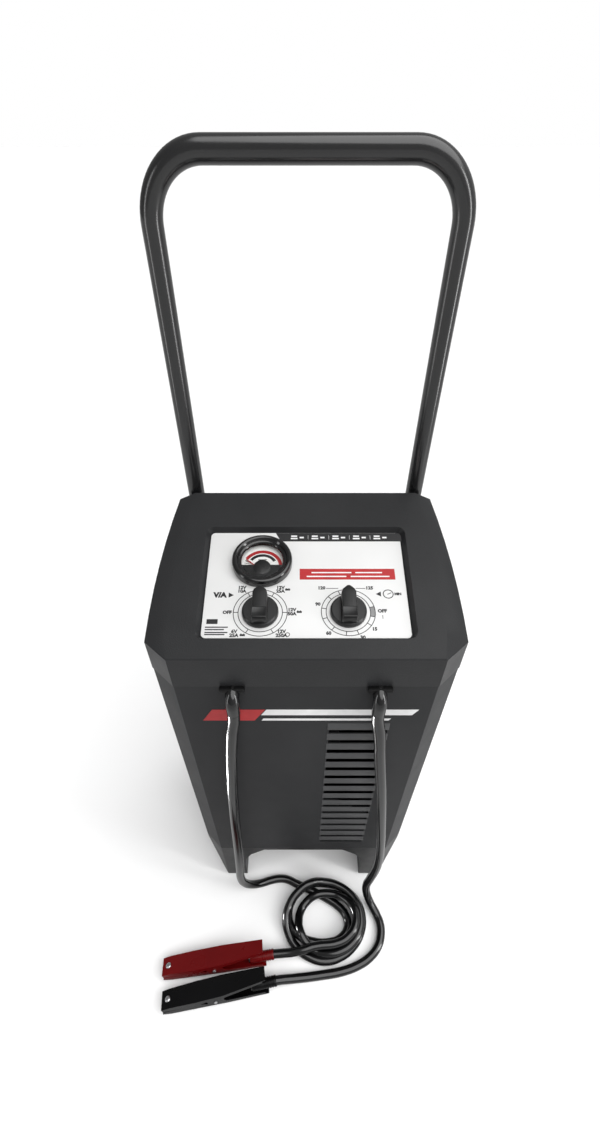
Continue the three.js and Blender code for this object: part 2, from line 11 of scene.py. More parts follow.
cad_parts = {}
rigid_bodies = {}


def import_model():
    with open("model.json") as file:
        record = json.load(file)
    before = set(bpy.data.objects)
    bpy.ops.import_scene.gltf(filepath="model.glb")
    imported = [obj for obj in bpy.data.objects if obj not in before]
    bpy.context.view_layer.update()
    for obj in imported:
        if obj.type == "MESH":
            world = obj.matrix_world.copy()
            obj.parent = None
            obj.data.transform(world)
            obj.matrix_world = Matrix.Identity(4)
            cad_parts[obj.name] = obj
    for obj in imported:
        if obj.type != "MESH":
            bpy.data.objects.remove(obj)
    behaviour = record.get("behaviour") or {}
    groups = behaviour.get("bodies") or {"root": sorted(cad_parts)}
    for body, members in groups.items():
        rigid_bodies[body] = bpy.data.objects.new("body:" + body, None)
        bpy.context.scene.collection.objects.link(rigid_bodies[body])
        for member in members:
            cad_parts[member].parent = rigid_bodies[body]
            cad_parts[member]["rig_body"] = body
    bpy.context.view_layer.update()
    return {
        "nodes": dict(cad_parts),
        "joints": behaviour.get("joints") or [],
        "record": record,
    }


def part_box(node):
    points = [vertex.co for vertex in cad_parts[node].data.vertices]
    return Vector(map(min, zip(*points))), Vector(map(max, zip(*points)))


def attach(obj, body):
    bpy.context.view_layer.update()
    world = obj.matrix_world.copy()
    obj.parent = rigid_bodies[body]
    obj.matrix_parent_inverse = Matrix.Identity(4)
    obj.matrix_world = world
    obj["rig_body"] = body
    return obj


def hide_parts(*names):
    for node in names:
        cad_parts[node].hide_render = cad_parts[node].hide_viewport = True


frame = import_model()
JOINTS = {joint["name"]: joint for joint in frame["joints"]}

# ---- Camera -----------------------------------------------------------------------------------


CAMERA_PLACE = (-0.0079, -0.4639, 1.0343)
CAMERA_TILT = 43.83  # degrees up from looking straight down
CAMERA_LENS = 16.0
CAMERA_SHIFT = (0.001, 0.06)


def make_camera():
    data = bpy.data.cameras.new("camera")
    data.sensor_width = 36
    data.lens = CAMERA_LENS
    data.shift_x, data.shift_y = CAMERA_SHIFT
    data.clip_end = 20
    camera = bpy.data.objects.new("camera", data)
    camera.location = CAMERA_PLACE
    camera.rotation_euler = (math.radians(CAMERA_TILT), 0, 0)
    bpy.context.scene.collection.objects.link(camera)
    bpy.context.scene.camera = camera


make_camera()

# ---- Leads ------------------------------------------------------------------------------------

LEAD_WIDTH = 0.0145
LEAD_DROP_Y = -0.1455  # where the leads hang, in front of the case
LEAD_ON_FLOOR = 0.0076  # height of the middle of a lead that lies on the floor
STRAND_GAP = 0.0148  # between the middles of strands that cross
HUMP_SLOPE = 0.32  # of a strand that climbs over another
SAME_STRAND = 0.06  # points nearer than this along the lead never rest on each other
TURN_POINTS = 16

POSITIVE_ROUTE = [
    (-0.0804, -0.1455, 0.569), (-0.0815, -0.146, 0.556), (-0.0855, -0.148, 0.532), (-0.0945, -0.154, 0.435),
    (-0.0985, -0.158, 0.365), (-0.1045, -0.162, 0.227), (-0.109, -0.164, 0.132), (-0.1115, -0.164, 0.088),
    (-0.1085, -0.1623, 0.052), (-0.098, -0.1583, 0.027), (-0.080, -0.1515, 0.011), (-0.061, -0.145, 0.0076),
    (-0.044, -0.1423, 0.0076), (-0.0285, -0.1443, 0.0076), (-0.014, -0.1508, 0.0076),
]
# Under the loops, from the back of the coil round to its front.
UNDER_THE_COIL = [
    (0.003, -0.1580), (0.020, -0.1655), (0.036, -0.1730), (0.051, -0.1810), (0.065, -0.1905),
    (0.076, -0.2020), (0.081, -0.2155), (0.079, -0.2290), (0.069, -0.2405), (0.054, -0.2475),
]
# How far the loops reach at each quarter turn, from the first loop's front.
LOOPS = {
    "front": [-0.2495, -0.2770, -0.2680, -0.2560],
    "left": [-0.0270, -0.0310, -0.0080, -0.0080],
    "back": [-0.1510, -0.1530, -0.1720, -0.1720],
    "right": [0.1080, 0.1040, 0.0940, 0.0940],
}
OFF_THE_COIL = [(0.018, -0.2590), (0.000, -0.2635)]
POSITIVE_TAIL = [(-0.0195, -0.2665, 0.021), (-0.033, -0.2673, 0.0192), (-0.0509, -0.2683, 0.0175),
                 (-0.0702, -0.2708, 0.0161), (-0.0942, -0.2738, 0.0143)]
NEGATIVE_ROUTE = [
    (0.0804, -0.1455, 0.569), (0.0813, -0.146, 0.556), (0.086, -0.148, 0.530), (0.092, -0.151, 0.480),
    (0.103, -0.156, 0.395), (0.113, -0.160, 0.305), (0.121, -0.163, 0.225), (0.125, -0.164, 0.165),
    (0.124, -0.1645, 0.118), (0.1195, -0.1655, 0.082), (0.1155, -0.1675, 0.054), (0.117, -0.173, 0.031),
    (0.1245, -0.186, 0.014), (0.134, -0.202, 0.0077), (0.140, -0.220, 0.0076), (0.139, -0.238, 0.0076),
    (0.132, -0.255, 0.0076), (0.1165, -0.271, 0.0076), (0.094, -0.2835, 0.0076), (0.064, -0.2925, 0.0076),
    (0.030, -0.2975, 0.0076), (0.004, -0.3007, 0.0092), (-0.020, -0.3034, 0.013), (-0.0436, -0.3061, 0.0173),
    (-0.0640, -0.3096, 0.0161), (-0.0880, -0.3138, 0.0143),
]
LOOP_COUNT = 3


def between(values, at):
    """The value at a fractional place in a list."""
    at = min(max(at, 0), len(values) - 1)
    low = min(int(at), len(values) - 2)
    return values[low] + (values[low + 1] - values[low]) * (at - low)


def loop_points():
    """The loops seen from above, clockwise from the front, up to where the lead leaves the coil."""
    points = []
    for i in range(LOOP_COUNT * TURN_POINTS):
        turn = (i + 1) / TURN_POINTS
        front, left = between(LOOPS["front"], turn), between(LOOPS["left"], turn - 0.25)
        back, right = between(LOOPS["back"], turn - 0.5), between(LOOPS["right"], turn - 0.75)
        angle = -math.pi / 2 - 2 * math.pi * turn
        points.append((
            (left + right) / 2 + (right - left) / 2 * math.cos(angle),
            (front + back) / 2 + (back - front) / 2 * math.sin(angle),
        ))
    return points[:-1]


def stacked(points):
    """Gives each point seen from above its height, so that a later strand lies on the earlier ones."""
    along = [0.0]
    for a, b in zip(points, points[1:]):
        along.append(along[-1] + math.dist(a, b))
    heights = []
    for i, point in enumerate(points):
        need = LEAD_ON_FLOOR
        for j in range(i):
            apart = math.dist(point, points[j])
            if along[i] - along[j] > SAME_STRAND and apart < STRAND_GAP:
                need = max(need, heights[j] + math.sqrt(STRAND_GAP ** 2 - apart ** 2))
        heights.append(need)
    eased = [
        max(h - HUMP_SLOPE * abs(along[i] - s) for s, h in zip(along, heights))
        for i in range(len(points))
    ]
    return [(x, y, z) for (x, y), z in zip(points, eased)]


def lead_curve(name, points):
    """A round lead along a route. The knots carry its radius, and the bevel only multiplies it."""
    data = bpy.data.curves.new(name, "CURVE")
    data.dimensions = "3D"
    data.bevel_depth = 1.0
    data.bevel_resolution = 6
    data.resolution_u = 6
    data.use_fill_caps = True
    spline = data.splines.new("BEZIER")
    spline.bezier_points.add(len(points) - 1)
    for knot, point in zip(spline.bezier_points, points):
        knot.co = point
        knot.radius = LEAD_WIDTH / 2
        knot.handle_left_type = knot.handle_right_type = "AUTO"
    obj = bpy.data.objects.new(name, data)
    bpy.context.scene.collection.objects.link(obj)
    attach(obj, "charger")
    return obj


def make_leads():
    coil = stacked([*UNDER_THE_COIL, *loop_points(), *OFF_THE_COIL])
    route = [*POSITIVE_ROUTE, *coil, *POSITIVE_TAIL]
    positive = lead_curve("positive_lead_coiled", route)
    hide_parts("positive_lead", "positive_coil", "positive_tail")
    negative = lead_curve("negative_lead_swept", NEGATIVE_ROUTE)
    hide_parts("negative_lead")
    return (positive, route, "coiled", "red"), (negative, NEGATIVE_ROUTE, "loose", "black")


leads = make_leads()

# ---- Finishes ---------------------------------------------------------------------------------


FIRST_COLOUR, SECOND_COLOUR, MIXED_COLOUR = 6, 7, 2  # a Mix node's colour sockets, which share one name
NOISE_MIDDLE = (0.3, 0.7)  # the values that most of a noise lies between
SCRATCH_EDGE = (0.76, 0.80)  # a scratch fades in between these noise values
DUST_EDGE = (0.66, 0.74)
GRAIN_DEPTH = 0.0002


def socket(group, name, direction, kind, value=None):
    made = group.interface.new_socket(name=name, in_out=direction, socket_type=kind)
    if value is not None:
        made.default_value = value


def feed(tree, value, target):
    """Links another node's output to an input, or sets the input's own value."""
    if hasattr(value, "is_output"):
        tree.links.new(value, target)
    else:
        target.default_value = (*value, 1) if isinstance(value, tuple) else value


def noise(tree, scale, detail, vector):
    node = tree.nodes.new("ShaderNodeTexNoise")
    node.inputs["Detail"].default_value = detail
    feed(tree, scale, node.inputs["Scale"])
    tree.links.new(vector, node.inputs["Vector"])
    return node.outputs["Fac"]


def spread(tree, value, low, high, to_low=0.0, to_high=1.0):
    """Maps a value from low..high to to_low..to_high, clamped."""
    node = tree.nodes.new("ShaderNodeMapRange")
    tree.links.new(value, node.inputs["Value"])
    for name, limit in (("From Min", low), ("From Max", high), ("To Min", to_low), ("To Max", to_high)):
        feed(tree, limit, node.inputs[name])
    return node.outputs["Result"]


def mixed(tree, mask, first, second):
    """The first colour, and the second one where the mask is 1."""
    node = tree.nodes.new("ShaderNodeMix")
    node.data_type = "RGBA"
    for value, name in ((mask, "Factor"), (first, FIRST_COLOUR), (second, SECOND_COLOUR)):
        feed(tree, value, node.inputs[name])
    return node.outputs[MIXED_COLOUR]


def surface_group():
    """Two close tones in soft patches, uneven gloss and a fine grain."""
    group = bpy.data.node_groups.new("surface_finish", "ShaderNodeTree")
    socket(group, "Tone", "INPUT", "NodeSocketColor")
    socket(group, "Other Tone", "INPUT", "NodeSocketColor")
    socket(group, "Patches", "INPUT", "NodeSocketFloat", 12.0)
    socket(group, "Grain", "INPUT", "NodeSocketFloat", 900.0)
    socket(group, "Least Roughness", "INPUT", "NodeSocketFloat", 0.3)
    socket(group, "Most Roughness", "INPUT", "NodeSocketFloat", 0.4)
    socket(group, "Color", "OUTPUT", "NodeSocketColor")
    socket(group, "Roughness", "OUTPUT", "NodeSocketFloat")
    socket(group, "Height", "OUTPUT", "NodeSocketFloat")
    given = group.nodes.new("NodeGroupInput")
    result = group.nodes.new("NodeGroupOutput")
    place = group.nodes.new("ShaderNodeTexCoord").outputs["Object"]
    patch = spread(group, noise(group, given.outputs["Patches"], 4, place), *NOISE_MIDDLE)
    tone = mixed(group, patch, given.outputs["Tone"], given.outputs["Other Tone"])
    gloss = noise(group, 31.0, 5, place)
    least, most = given.outputs["Least Roughness"], given.outputs["Most Roughness"]
    rough = spread(group, gloss, *NOISE_MIDDLE, least, most)
    grain = noise(group, given.outputs["Grain"], 2, place)
    group.links.new(tone, result.inputs["Color"])
    group.links.new(rough, result.inputs["Roughness"])
    group.links.new(grain, result.inputs["Height"])
    return group


def marks_group():
    """Fine handling marks: short thin scratches and a scatter of dust."""
    group = bpy.data.node_groups.new("handling_marks", "ShaderNodeTree")
    socket(group, "Color", "INPUT", "NodeSocketColor")
    socket(group, "Mark Color", "INPUT", "NodeSocketColor")
    socket(group, "Amount", "INPUT", "NodeSocketFloat", 0.2)
    socket(group, "Color", "OUTPUT", "NodeSocketColor")
    given = group.nodes.new("NodeGroupInput")
    result = group.nodes.new("NodeGroupOutput")
    place = group.nodes.new("ShaderNodeTexCoord").outputs["Object"]
    stretch = group.nodes.new("ShaderNodeMapping")
    stretch.inputs["Scale"].default_value = (1.0, 1.0, 24.0)
    stretch.inputs["Rotation"].default_value = (0.3, 0.9, 0.4)
    group.links.new(place, stretch.inputs["Vector"])
    scratch = spread(group, noise(group, 70.0, 2, stretch.outputs["Vector"]), *SCRATCH_EDGE)
    dust = spread(group, noise(group, 420.0, 2, place), *DUST_EDGE)
    both = group.nodes.new("ShaderNodeMath")
    both.operation = "MAXIMUM"
    group.links.new(scratch, both.inputs[0])
    group.links.new(dust, both.inputs[1])
    weak = group.nodes.new("ShaderNodeMath")
    weak.operation = "MULTIPLY"
    group.links.new(both.outputs[0], weak.inputs[0])
    group.links.new(given.outputs["Amount"], weak.inputs[1])
    result_colour = mixed(group, weak.outputs[0], given.outputs["Color"], given.outputs["Mark Color"])
    group.links.new(result_colour, result.inputs["Color"])
    return group


SURFACE = surface_group()
MARKS = marks_group()


def finish(name, tone, other, rough, patches=12.0, grain=900.0, bump=0.08, marks=0.0, mark_colour=None,
           **shader):
    """A material made of the shared surface, its marks, and the shader's own plain values."""
    material = bpy.data.materials.new(name)
    material.use_nodes = True
    tree = material.node_tree
    principled = tree.nodes["Principled BSDF"]
    surface = tree.nodes.new("ShaderNodeGroup")
    surface.node_tree = SURFACE
    given = {"Tone": tone, "Other Tone": other, "Patches": patches, "Grain": grain,
             "Least Roughness": rough[0], "Most Roughness": rough[1]}
    for key, value in given.items():
        feed(tree, value, surface.inputs[key])
    colour = surface.outputs["Color"]
    if marks:
        worn = tree.nodes.new("ShaderNodeGroup")
        worn.node_tree = MARKS
        worn.inputs["Mark Color"].default_value = (*mark_colour, 1)
        worn.inputs["Amount"].default_value = marks
        tree.links.new(colour, worn.inputs["Color"])
        colour = worn.outputs["Color"]
    tree.links.new(colour, principled.inputs["Base Color"])
    tree.links.new(surface.outputs["Roughness"], principled.inputs["Roughness"])
    relief = tree.nodes.new("ShaderNodeBump")
    relief.inputs["Strength"].default_value = bump
    relief.inputs["Distance"].default_value = GRAIN_DEPTH
    tree.links.new(surface.outputs["Height"], relief.inputs["Height"])
    tree.links.new(relief.outputs["Normal"], principled.inputs["Normal"])
    for key, value in shader.items():
        principled.inputs[key.replace("_", " ")].default_value = value
    return material


def banded(material, axis, scale, dark, light):
    """Lays fine bands over a material, for laminations and wound wire."""
    tree = material.node_tree
    principled = tree.nodes["Principled BSDF"]
    place = tree.nodes.new("ShaderNodeTexCoord").outputs["Object"]
    wave = tree.nodes.new("ShaderNodeTexWave")
    wave.bands_direction = axis
    wave.inputs["Scale"].default_value = scale
    wave.inputs["Distortion"].default_value = 0.4
    tree.links.new(place, wave.inputs["Vector"])
    tree.links.new(mixed(tree, wave.outputs["Fac"], dark, light), principled.inputs["Base Color"])
    relief = next(n for n in tree.nodes if n.type == "BUMP")
    tree.links.new(wave.outputs["Fac"], relief.inputs["Height"])
    relief.inputs["Strength"].default_value = 0.6
    return material


FINISHES = {
    "case": finish("case_paint", (0.026, 0.0264, 0.0278), (0.031, 0.0314, 0.0328), (0.42, 0.46), patches=7,
        grain=700, bump=0.45, Specular_IOR_Level=0.10),
    # The louvre slats are the same painted steel as the case, but their tone is about 2.5 times lighter:
    # painted light, for the slat tops that catch the light from above.
    "louvre": finish("louvre_painted_light", (0.064, 0.065, 0.067), (0.078, 0.079, 0.081), (0.38, 0.44), patches=30,
        grain=700, bump=0.5, Specular_IOR_Level=0.2),
    "cap": finish("cap_plastic", (0.018, 0.0184, 0.0195), (0.022, 0.0224, 0.0236), (0.34, 0.42), patches=9,
        grain=700, bump=1.0, Specular_IOR_Level=0.22),
    "base": finish("base_plastic", (0.0070, 0.0072, 0.0077), (0.0095, 0.0097, 0.0102), (0.36, 0.46),
        patches=9, grain=1900, bump=0.25, marks=0.25, mark_colour=(0.09, 0.088, 0.085)),
    "tube": finish("handle_enamel", (0.006, 0.006, 0.0065), (0.008, 0.008, 0.0085), (0.17, 0.23),
        patches=16, grain=260, bump=0.05, marks=0.08, mark_colour=(0.03, 0.03, 0.03),
        Specular_IOR_Level=0.7),
    "knob": finish("knob_plastic", (0.0025, 0.0026, 0.0028), (0.0040, 0.0041, 0.0044), (0.28, 0.38),
        patches=60, grain=2600, bump=0.15, marks=0.10, mark_colour=(0.06, 0.06, 0.06)),
    "meter": finish("bezel_plastic", (0.0020, 0.0021, 0.0023), (0.0032, 0.0033, 0.0036), (0.10, 0.18),
        patches=40, grain=900, bump=0.04, marks=0.05, mark_colour=(0.05, 0.05, 0.05), Coat_Weight=0.3),
    "label": finish("label_foil", (0.66, 0.66, 0.655), (0.74, 0.74, 0.735), (0.30, 0.42), patches=5,
        grain=1500, bump=0.10, Metallic=0.15),
    "dial": finish("dial_card", (0.80, 0.80, 0.78), (0.86, 0.86, 0.84), (0.45, 0.55), patches=60,
        grain=2500, bump=0.1),
    "needle": finish("needle_paint", (0.30, 0.01, 0.01), (0.40, 0.015, 0.012), (0.3, 0.4), patches=120),
    "lens": finish("lens_plastic", (0.010, 0.011, 0.012), (0.014, 0.015, 0.016), (0.02, 0.06), patches=30,
        bump=0.01, Alpha=0.04, Specular_IOR_Level=0.2),
    "fitting": finish("black_nylon", (0.0028, 0.0029, 0.0031), (0.0045, 0.0046, 0.0049), (0.30, 0.42),
        patches=40, grain=2200, bump=0.18, marks=0.12, mark_colour=(0.05, 0.05, 0.05)),
    "lead": finish("lead_rubber", (0.0020, 0.0021, 0.0023), (0.0032, 0.0033, 0.0036), (0.13, 0.18),
        patches=20, grain=1500, bump=0.08, marks=0.18, mark_colour=(0.012, 0.012, 0.012),
        Specular_IOR_Level=0.6),
    "tyre": finish("tyre_rubber", (0.0110, 0.0110, 0.0115), (0.0180, 0.0178, 0.0175), (0.55, 0.75),
        patches=26, grain=1300, bump=0.5, marks=0.5, mark_colour=(0.09, 0.085, 0.075)),
    "hub": finish("hub_plastic", (0.0060, 0.0061, 0.0064), (0.0085, 0.0086, 0.0090), (0.34, 0.46),
        patches=20, grain=1900, bump=0.2, marks=0.2, mark_colour=(0.07, 0.07, 0.068)),
    "boot": finish("boot_rubber", (0.0014, 0.0014, 0.0015), (0.0022, 0.0022, 0.0024), (0.50, 0.60),
        patches=40, grain=1500, bump=0.2, Specular_IOR_Level=0.22),
    "rubber": finish("foot_rubber", (0.0090, 0.0090, 0.0094), (0.0150, 0.0148, 0.0145), (0.6, 0.75),
        patches=40, grain=1500, bump=0.4, marks=0.4, mark_colour=(0.08, 0.076, 0.07)),
    "red_clamp": finish("red_vinyl", (0.105, 0.0012, 0.0018), (0.125, 0.0018, 0.0024), (0.26, 0.34),
        patches=24, grain=900, bump=0.16, Specular_IOR_Level=0.22),
    "black_clamp": finish("black_vinyl", (0.0018, 0.0018, 0.0020), (0.0030, 0.0030, 0.0033), (0.24, 0.34),
        patches=24, grain=900, bump=0.16, Specular_IOR_Level=0.16),
    "steel": finish("zinc_plate", (0.42, 0.42, 0.43), (0.56, 0.56, 0.57), (0.22, 0.36), patches=60,
        grain=1800, bump=0.1, marks=0.2, mark_colour=(0.2, 0.2, 0.2), Metallic=1.0),
    "jaw": finish("copper_plate", (0.46, 0.20, 0.10), (0.58, 0.28, 0.15), (0.25, 0.40), patches=60,
        grain=1500, bump=0.2, marks=0.3, mark_colour=(0.16, 0.09, 0.05), Metallic=1.0),
    "core": banded(finish("core_iron", (0.07, 0.07, 0.075), (0.11, 0.11, 0.115), (0.45, 0.6), Metallic=0.8),
        "Y", 160, (0.05, 0.05, 0.052), (0.13, 0.13, 0.135)),
    "copper_winding": banded(finish("winding_copper", (0.36, 0.13, 0.05), (0.5, 0.2, 0.08), (0.25, 0.35),
        Metallic=0.9), "Z", 150, (0.16, 0.05, 0.02), (0.52, 0.21, 0.09)),
    "aluminium": finish("plain_aluminium", (0.48, 0.49, 0.50), (0.60, 0.61, 0.62), (0.3, 0.42), patches=30,
        grain=1500, bump=0.15, Metallic=1.0),
}
INKS = {
    "black": finish("ink_black", (0.006, 0.006, 0.007), (0.010, 0.010, 0.011), (0.35, 0.45), patches=90),
    "red": finish("ink_red", (0.36, 0.006, 0.009), (0.44, 0.010, 0.013), (0.35, 0.45), patches=90),
    "white": finish("ink_white", (0.74, 0.74, 0.74), (0.82, 0.82, 0.82), (0.35, 0.45), patches=90),
    "grey": finish("ink_grey", (0.22, 0.22, 0.22), (0.28, 0.28, 0.28), (0.35, 0.45), patches=90),
}


def dress_frame():
    for subpart in frame["record"]["subparts"]:
        mesh = frame["nodes"][subpart["node"]].data
        mesh.materials.clear()
        mesh.materials.append(FINISHES[subpart["material_slot"]])
    for lead, *_ in leads:
        lead.data.materials.append(FINISHES["lead"])


dress_frame()

# ---- Modelling steps --------------------------------------------------------------------------


def only(obj):
    if bpy.context.object and bpy.context.object.mode != "OBJECT":
        bpy.ops.object.mode_set(mode="OBJECT")
    bpy.ops.object.select_all(action="DESELECT")
    obj.select_set(True)
    bpy.context.view_layer.objects.active = obj


def added():
    """The primitive just added, with its place applied to its mesh."""
    obj = bpy.context.object
    only(obj)
    bpy.ops.object.transform_apply(location=True, rotation=True, scale=True)
    return obj


def edit(obj):
    only(obj)
    bpy.ops.object.mode_set(mode="EDIT")
    bpy.ops.mesh.select_mode(type="VERT")
    bpy.ops.mesh.select_all(action="SELECT")


def leave():
    bpy.ops.object.mode_set(mode="OBJECT")


def pick(obj, test):
    """Selects the faces whose middle and normal pass a test."""
    bpy.ops.mesh.select_mode(type="FACE")
    bpy.ops.mesh.select_all(action="DESELECT")
    for face in bmesh.from_edit_mesh(obj.data).faces:
        face.select_set(test(face.calc_center_median(), face.normal))
    bmesh.update_edit_mesh(obj.data)


def tidy_mesh(obj, distance=0.00002):
    edit(obj)
    bpy.ops.mesh.remove_doubles(threshold=distance)
    bpy.ops.mesh.normals_make_consistent(inside=False)
    leave()


def apply(obj, kind, **settings):
    only(obj)
    modifier = obj.modifiers.new(kind.lower(), kind)
    for key, value in settings.items():
        setattr(modifier, key, value)
    bpy.ops.object.modifier_apply(modifier=modifier.name)


def joined(objs):
    only(objs[0])
    for obj in objs[1:]:
        obj.select_set(True)
    if len(objs) > 1:
        bpy.ops.object.join()
    return bpy.context.object


def moved(obj, matrix):
    obj.data.transform(matrix)
    return obj


def copy_of(obj, matrix):
    twin = bpy.data.objects.new(obj.name, obj.data.copy())
    bpy.context.scene.collection.objects.link(twin)
    return moved(twin, matrix)


def put(obj, name, body, slot, material=None, stands_for=(), smooth=35, matrix=None):
    """Names a finished piece, gives it its finish and hands it to its body."""
    if matrix:
        moved(obj, matrix)
    obj.name = obj.data.name = name
    obj.data.materials.clear()
    obj.data.materials.append(material or FINISHES[slot])
    only(obj)
    if smooth:
        bpy.ops.object.shade_smooth_by_angle(angle=math.radians(smooth))
    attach(obj, body)
    if stands_for:
        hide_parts(*stands_for)
    return obj


def block(low, high, rounding=0.0, segments=2):
    middle = [(a + b) / 2 for a, b in zip(low, high)]
    bpy.ops.mesh.primitive_cube_add(size=1, location=middle, scale=[b - a for a, b in zip(low, high)])
    obj = added()
    if rounding:
        edit(obj)
        bpy.ops.mesh.bevel(offset=rounding, segments=segments, affect="EDGES")
        leave()
    return obj


AXIS_RADIUS = 0.00001  # of a ring that its doubles then close to a point
SLIVER = 0.00002  # thickness of a cross-section before it is spun
EDGE_ANGLE = 28  # degrees, past which an edge is rounded


def turned(profile, sides=64):
    """A ring of vertices drawn out along a closed profile of (radius, height)."""
    stations = [(max(r, AXIS_RADIUS), h) for r, h in [*profile, profile[0]]]
    first_radius, first_height = stations[0]
    bpy.ops.mesh.primitive_circle_add(vertices=sides, radius=first_radius, location=(0, 0, first_height))
    obj = added()
    edit(obj)
    for (r, h), (wider, higher) in zip(stations, stations[1:]):
        bpy.ops.mesh.extrude_region_move(TRANSFORM_OT_translate={"value": (0, 0, higher - h)})
        scale = wider / r
        bpy.ops.transform.resize(value=(scale, scale, 1), center_override=(0, 0, higher))
    leave()
    tidy_mesh(obj, 0.00003)
    return obj


def arc(inner, outer, low, high, start, sweep, steps=24):
    """A flat curved bar: its cross-section spun about Z, angles in degrees."""
    middle = ((inner + outer) / 2, 0, (low + high) / 2)
    bpy.ops.mesh.primitive_cube_add(size=1, location=middle, scale=(outer - inner, SLIVER, high - low))
    obj = added()
    edit(obj)
    pick(obj, lambda middle, normal: normal.y > 0.5)
    bpy.ops.mesh.spin(steps=steps, angle=-math.radians(sweep), center=(0, 0, 0), axis=(0, 0, 1))
    leave()
    tidy_mesh(obj, 0.000005)
    return moved(obj, Matrix.Rotation(math.radians(start), 4, "Z"))


def refined(node, rounding, segments):
    """A copy of a CAD node with its flats merged and its edges rounded."""
    obj = bpy.data.objects.new(node, frame["nodes"][node].data.copy())
    bpy.context.scene.collection.objects.link(obj)
    edit(obj)
    bpy.ops.mesh.remove_doubles(threshold=0.00001)
    bpy.ops.mesh.dissolve_limited(angle_limit=math.radians(0.5))
    leave()
    if rounding:
        apply(obj, "BEVEL", width=rounding, segments=segments, limit_method="ANGLE",
              angle_limit=math.radians(EDGE_ANGLE), miter_outer="MITER_ARC", use_clamp_overlap=True)
    return obj


def put_refined(node, name, rounding, slot, segments=2, smooth=40):
    """A rounded copy of a CAD node, in that node's place and on its body."""
    obj = refined(node, rounding, segments)
    body = frame["nodes"][node]["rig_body"]
    put(obj, name, body, slot, stands_for=[node], smooth=smooth)
    apply(obj, "WEIGHTED_NORMAL", keep_sharp=True, weight=80)
    return obj


# ---- Case -------------------------------------------------------------------------------------

CASE_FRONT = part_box("front_shell")[0].y
LOUVRE_ROWS = 16
LOUVRE_LOW = 0.168
LOUVRE_PITCH = 0.0228
LOUVRE_SLOT = 0.0100
LOUVRE_LIP = 0.0012  # how far a slat stands proud
LOUVRE_LEFT, LOUVRE_RIGHT = 0.0266, 0.101


def make_case():
    put_refined("top_cap", "cap_moulding", 0.0014, "cap", segments=3)
    put_refined("front_shell", "case_wrap", 0.0006, "case")
    put_refined("rear_panel", "case_back", 0, "case")
    put_refined("base_tray", "base_moulding", 0.0016, "base", segments=3)
    for side in ("left", "right"):
        put_refined(f"{side}_foot", f"{side}_foot_pad", 0.0012, "rubber")
    put_refined("mains_gland", "gland_moulding", 0.0005, "fitting")


def louvre_slat():
    """The pressed strip between two slots: flush at its top, standing a little proud at its lip."""
    half, back = (LOUVRE_RIGHT - LOUVRE_LEFT) / 2, 0.0002
    slat = block((-half, -LOUVRE_LIP, LOUVRE_SLOT / 2), (half, back, LOUVRE_PITCH - LOUVRE_SLOT / 2))
    edit(slat)
    pick(slat, lambda middle, normal: normal.z > 0.5)
    bpy.ops.transform.resize(value=(1, 0.3, 1), center_override=(0, back, 0))
    leave()
    apply(slat, "BEVEL", width=0.0004, segments=2, limit_method="ANGLE", angle_limit=math.radians(25))
    return slat


def make_louvre_column():
    slat = louvre_slat()
    middle = (LOUVRE_LEFT + LOUVRE_RIGHT) / 2
    rows = [
        copy_of(slat, Matrix.Translation((middle, CASE_FRONT, LOUVRE_LOW + row * LOUVRE_PITCH)))
        for row in range(LOUVRE_ROWS)
    ]
    bpy.data.objects.remove(slat)
    # The slats get the lighter louvre finish, whose tone is painted light falling on them from above.
    put(joined(rows), "louvre_slats", "charger", "case", FINISHES["louvre"], smooth=40)


STRIPE_SLANT = 0.6  # across for each step up


def make_front_stripes():
    """Plain slanted stripes across the upper front, in place of any lettering."""
    stripes = {
        "red": [(-0.121, -0.060, 0.534, 0.556)],
        "white": [(-0.052, 0.124, 0.545, 0.556), (-0.052, 0.098, 0.534, 0.538)],
    }
    for ink, spans in stripes.items():
        parts = []
        for left, right, low, high in spans:
            stripe = block((left, CASE_FRONT - 0.0002, low), (right, CASE_FRONT + 0.0001, high))
            edit(stripe)
            pick(stripe, lambda middle, normal: normal.z > 0.5)
            bpy.ops.transform.translate(value=((high - low) * STRIPE_SLANT, 0, 0))
            leave()
            parts.append(stripe)
        put(joined(parts), f"front_stripes_{ink}", "charger", "case", INKS[ink], smooth=0)


SCREW_RADIUS = 0.0042


def screw():
    """A pan head screw standing up along Z, with a cross slot."""
    radius, half = SCREW_RADIUS, SCREW_RADIUS * 0.6
    head = turned([(0, -0.0005), (radius, -0.0005), (radius, 0.0006), (radius * 0.86, 0.0018),
                   (radius * 0.45, 0.0024), (0, 0.0025)], 20)
    for turn in (0, 90):
        slot = block((-half, -0.0004, 0.0012), (half, 0.0004, 0.004))
        moved(slot, Matrix.Rotation(math.radians(turn), 4, "Z"))
        apply(head, "BOOLEAN", object=slot, operation="DIFFERENCE", solver="EXACT")
        bpy.data.objects.remove(slot)
    return head


def make_case_screws():
    """Along the top and the foot of the back panel."""
    low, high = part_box("rear_panel")
    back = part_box("front_shell")[1].y
    master = screw()
    out = Matrix.Rotation(math.radians(-90), 4, "X")
    heads = [
        copy_of(master, Matrix.Translation((x, back - 0.0002, z)) @ out)
        for x in (-0.118, 0, 0.118) for z in (low.z + 0.014, high.z - 0.012)
    ]
    bpy.data.objects.remove(master)
    put(joined(heads), "case_screws", "charger", "steel", smooth=35)


make_case()
make_louvre_column()
make_front_stripes()
make_case_screws()

# ---- Control panel ----------------------------------------------------------------------------


def panel_frame():
    """X across, Y up the slope from the cap's front edge, Z out of the panel."""
    turn = JOINTS["selector_turn"]
    out = Vector(turn["axis"]).normalized()
    up = Vector((0, out.z, -out.y))
    origin = Vector(turn["pos_m"]) - up * SELECTOR[1] - Vector((SELECTOR[0], 0, 0))
    return Matrix.Translation(origin) @ Matrix((Vector((1, 0, 0)), up, out)).transposed().to_4x4()


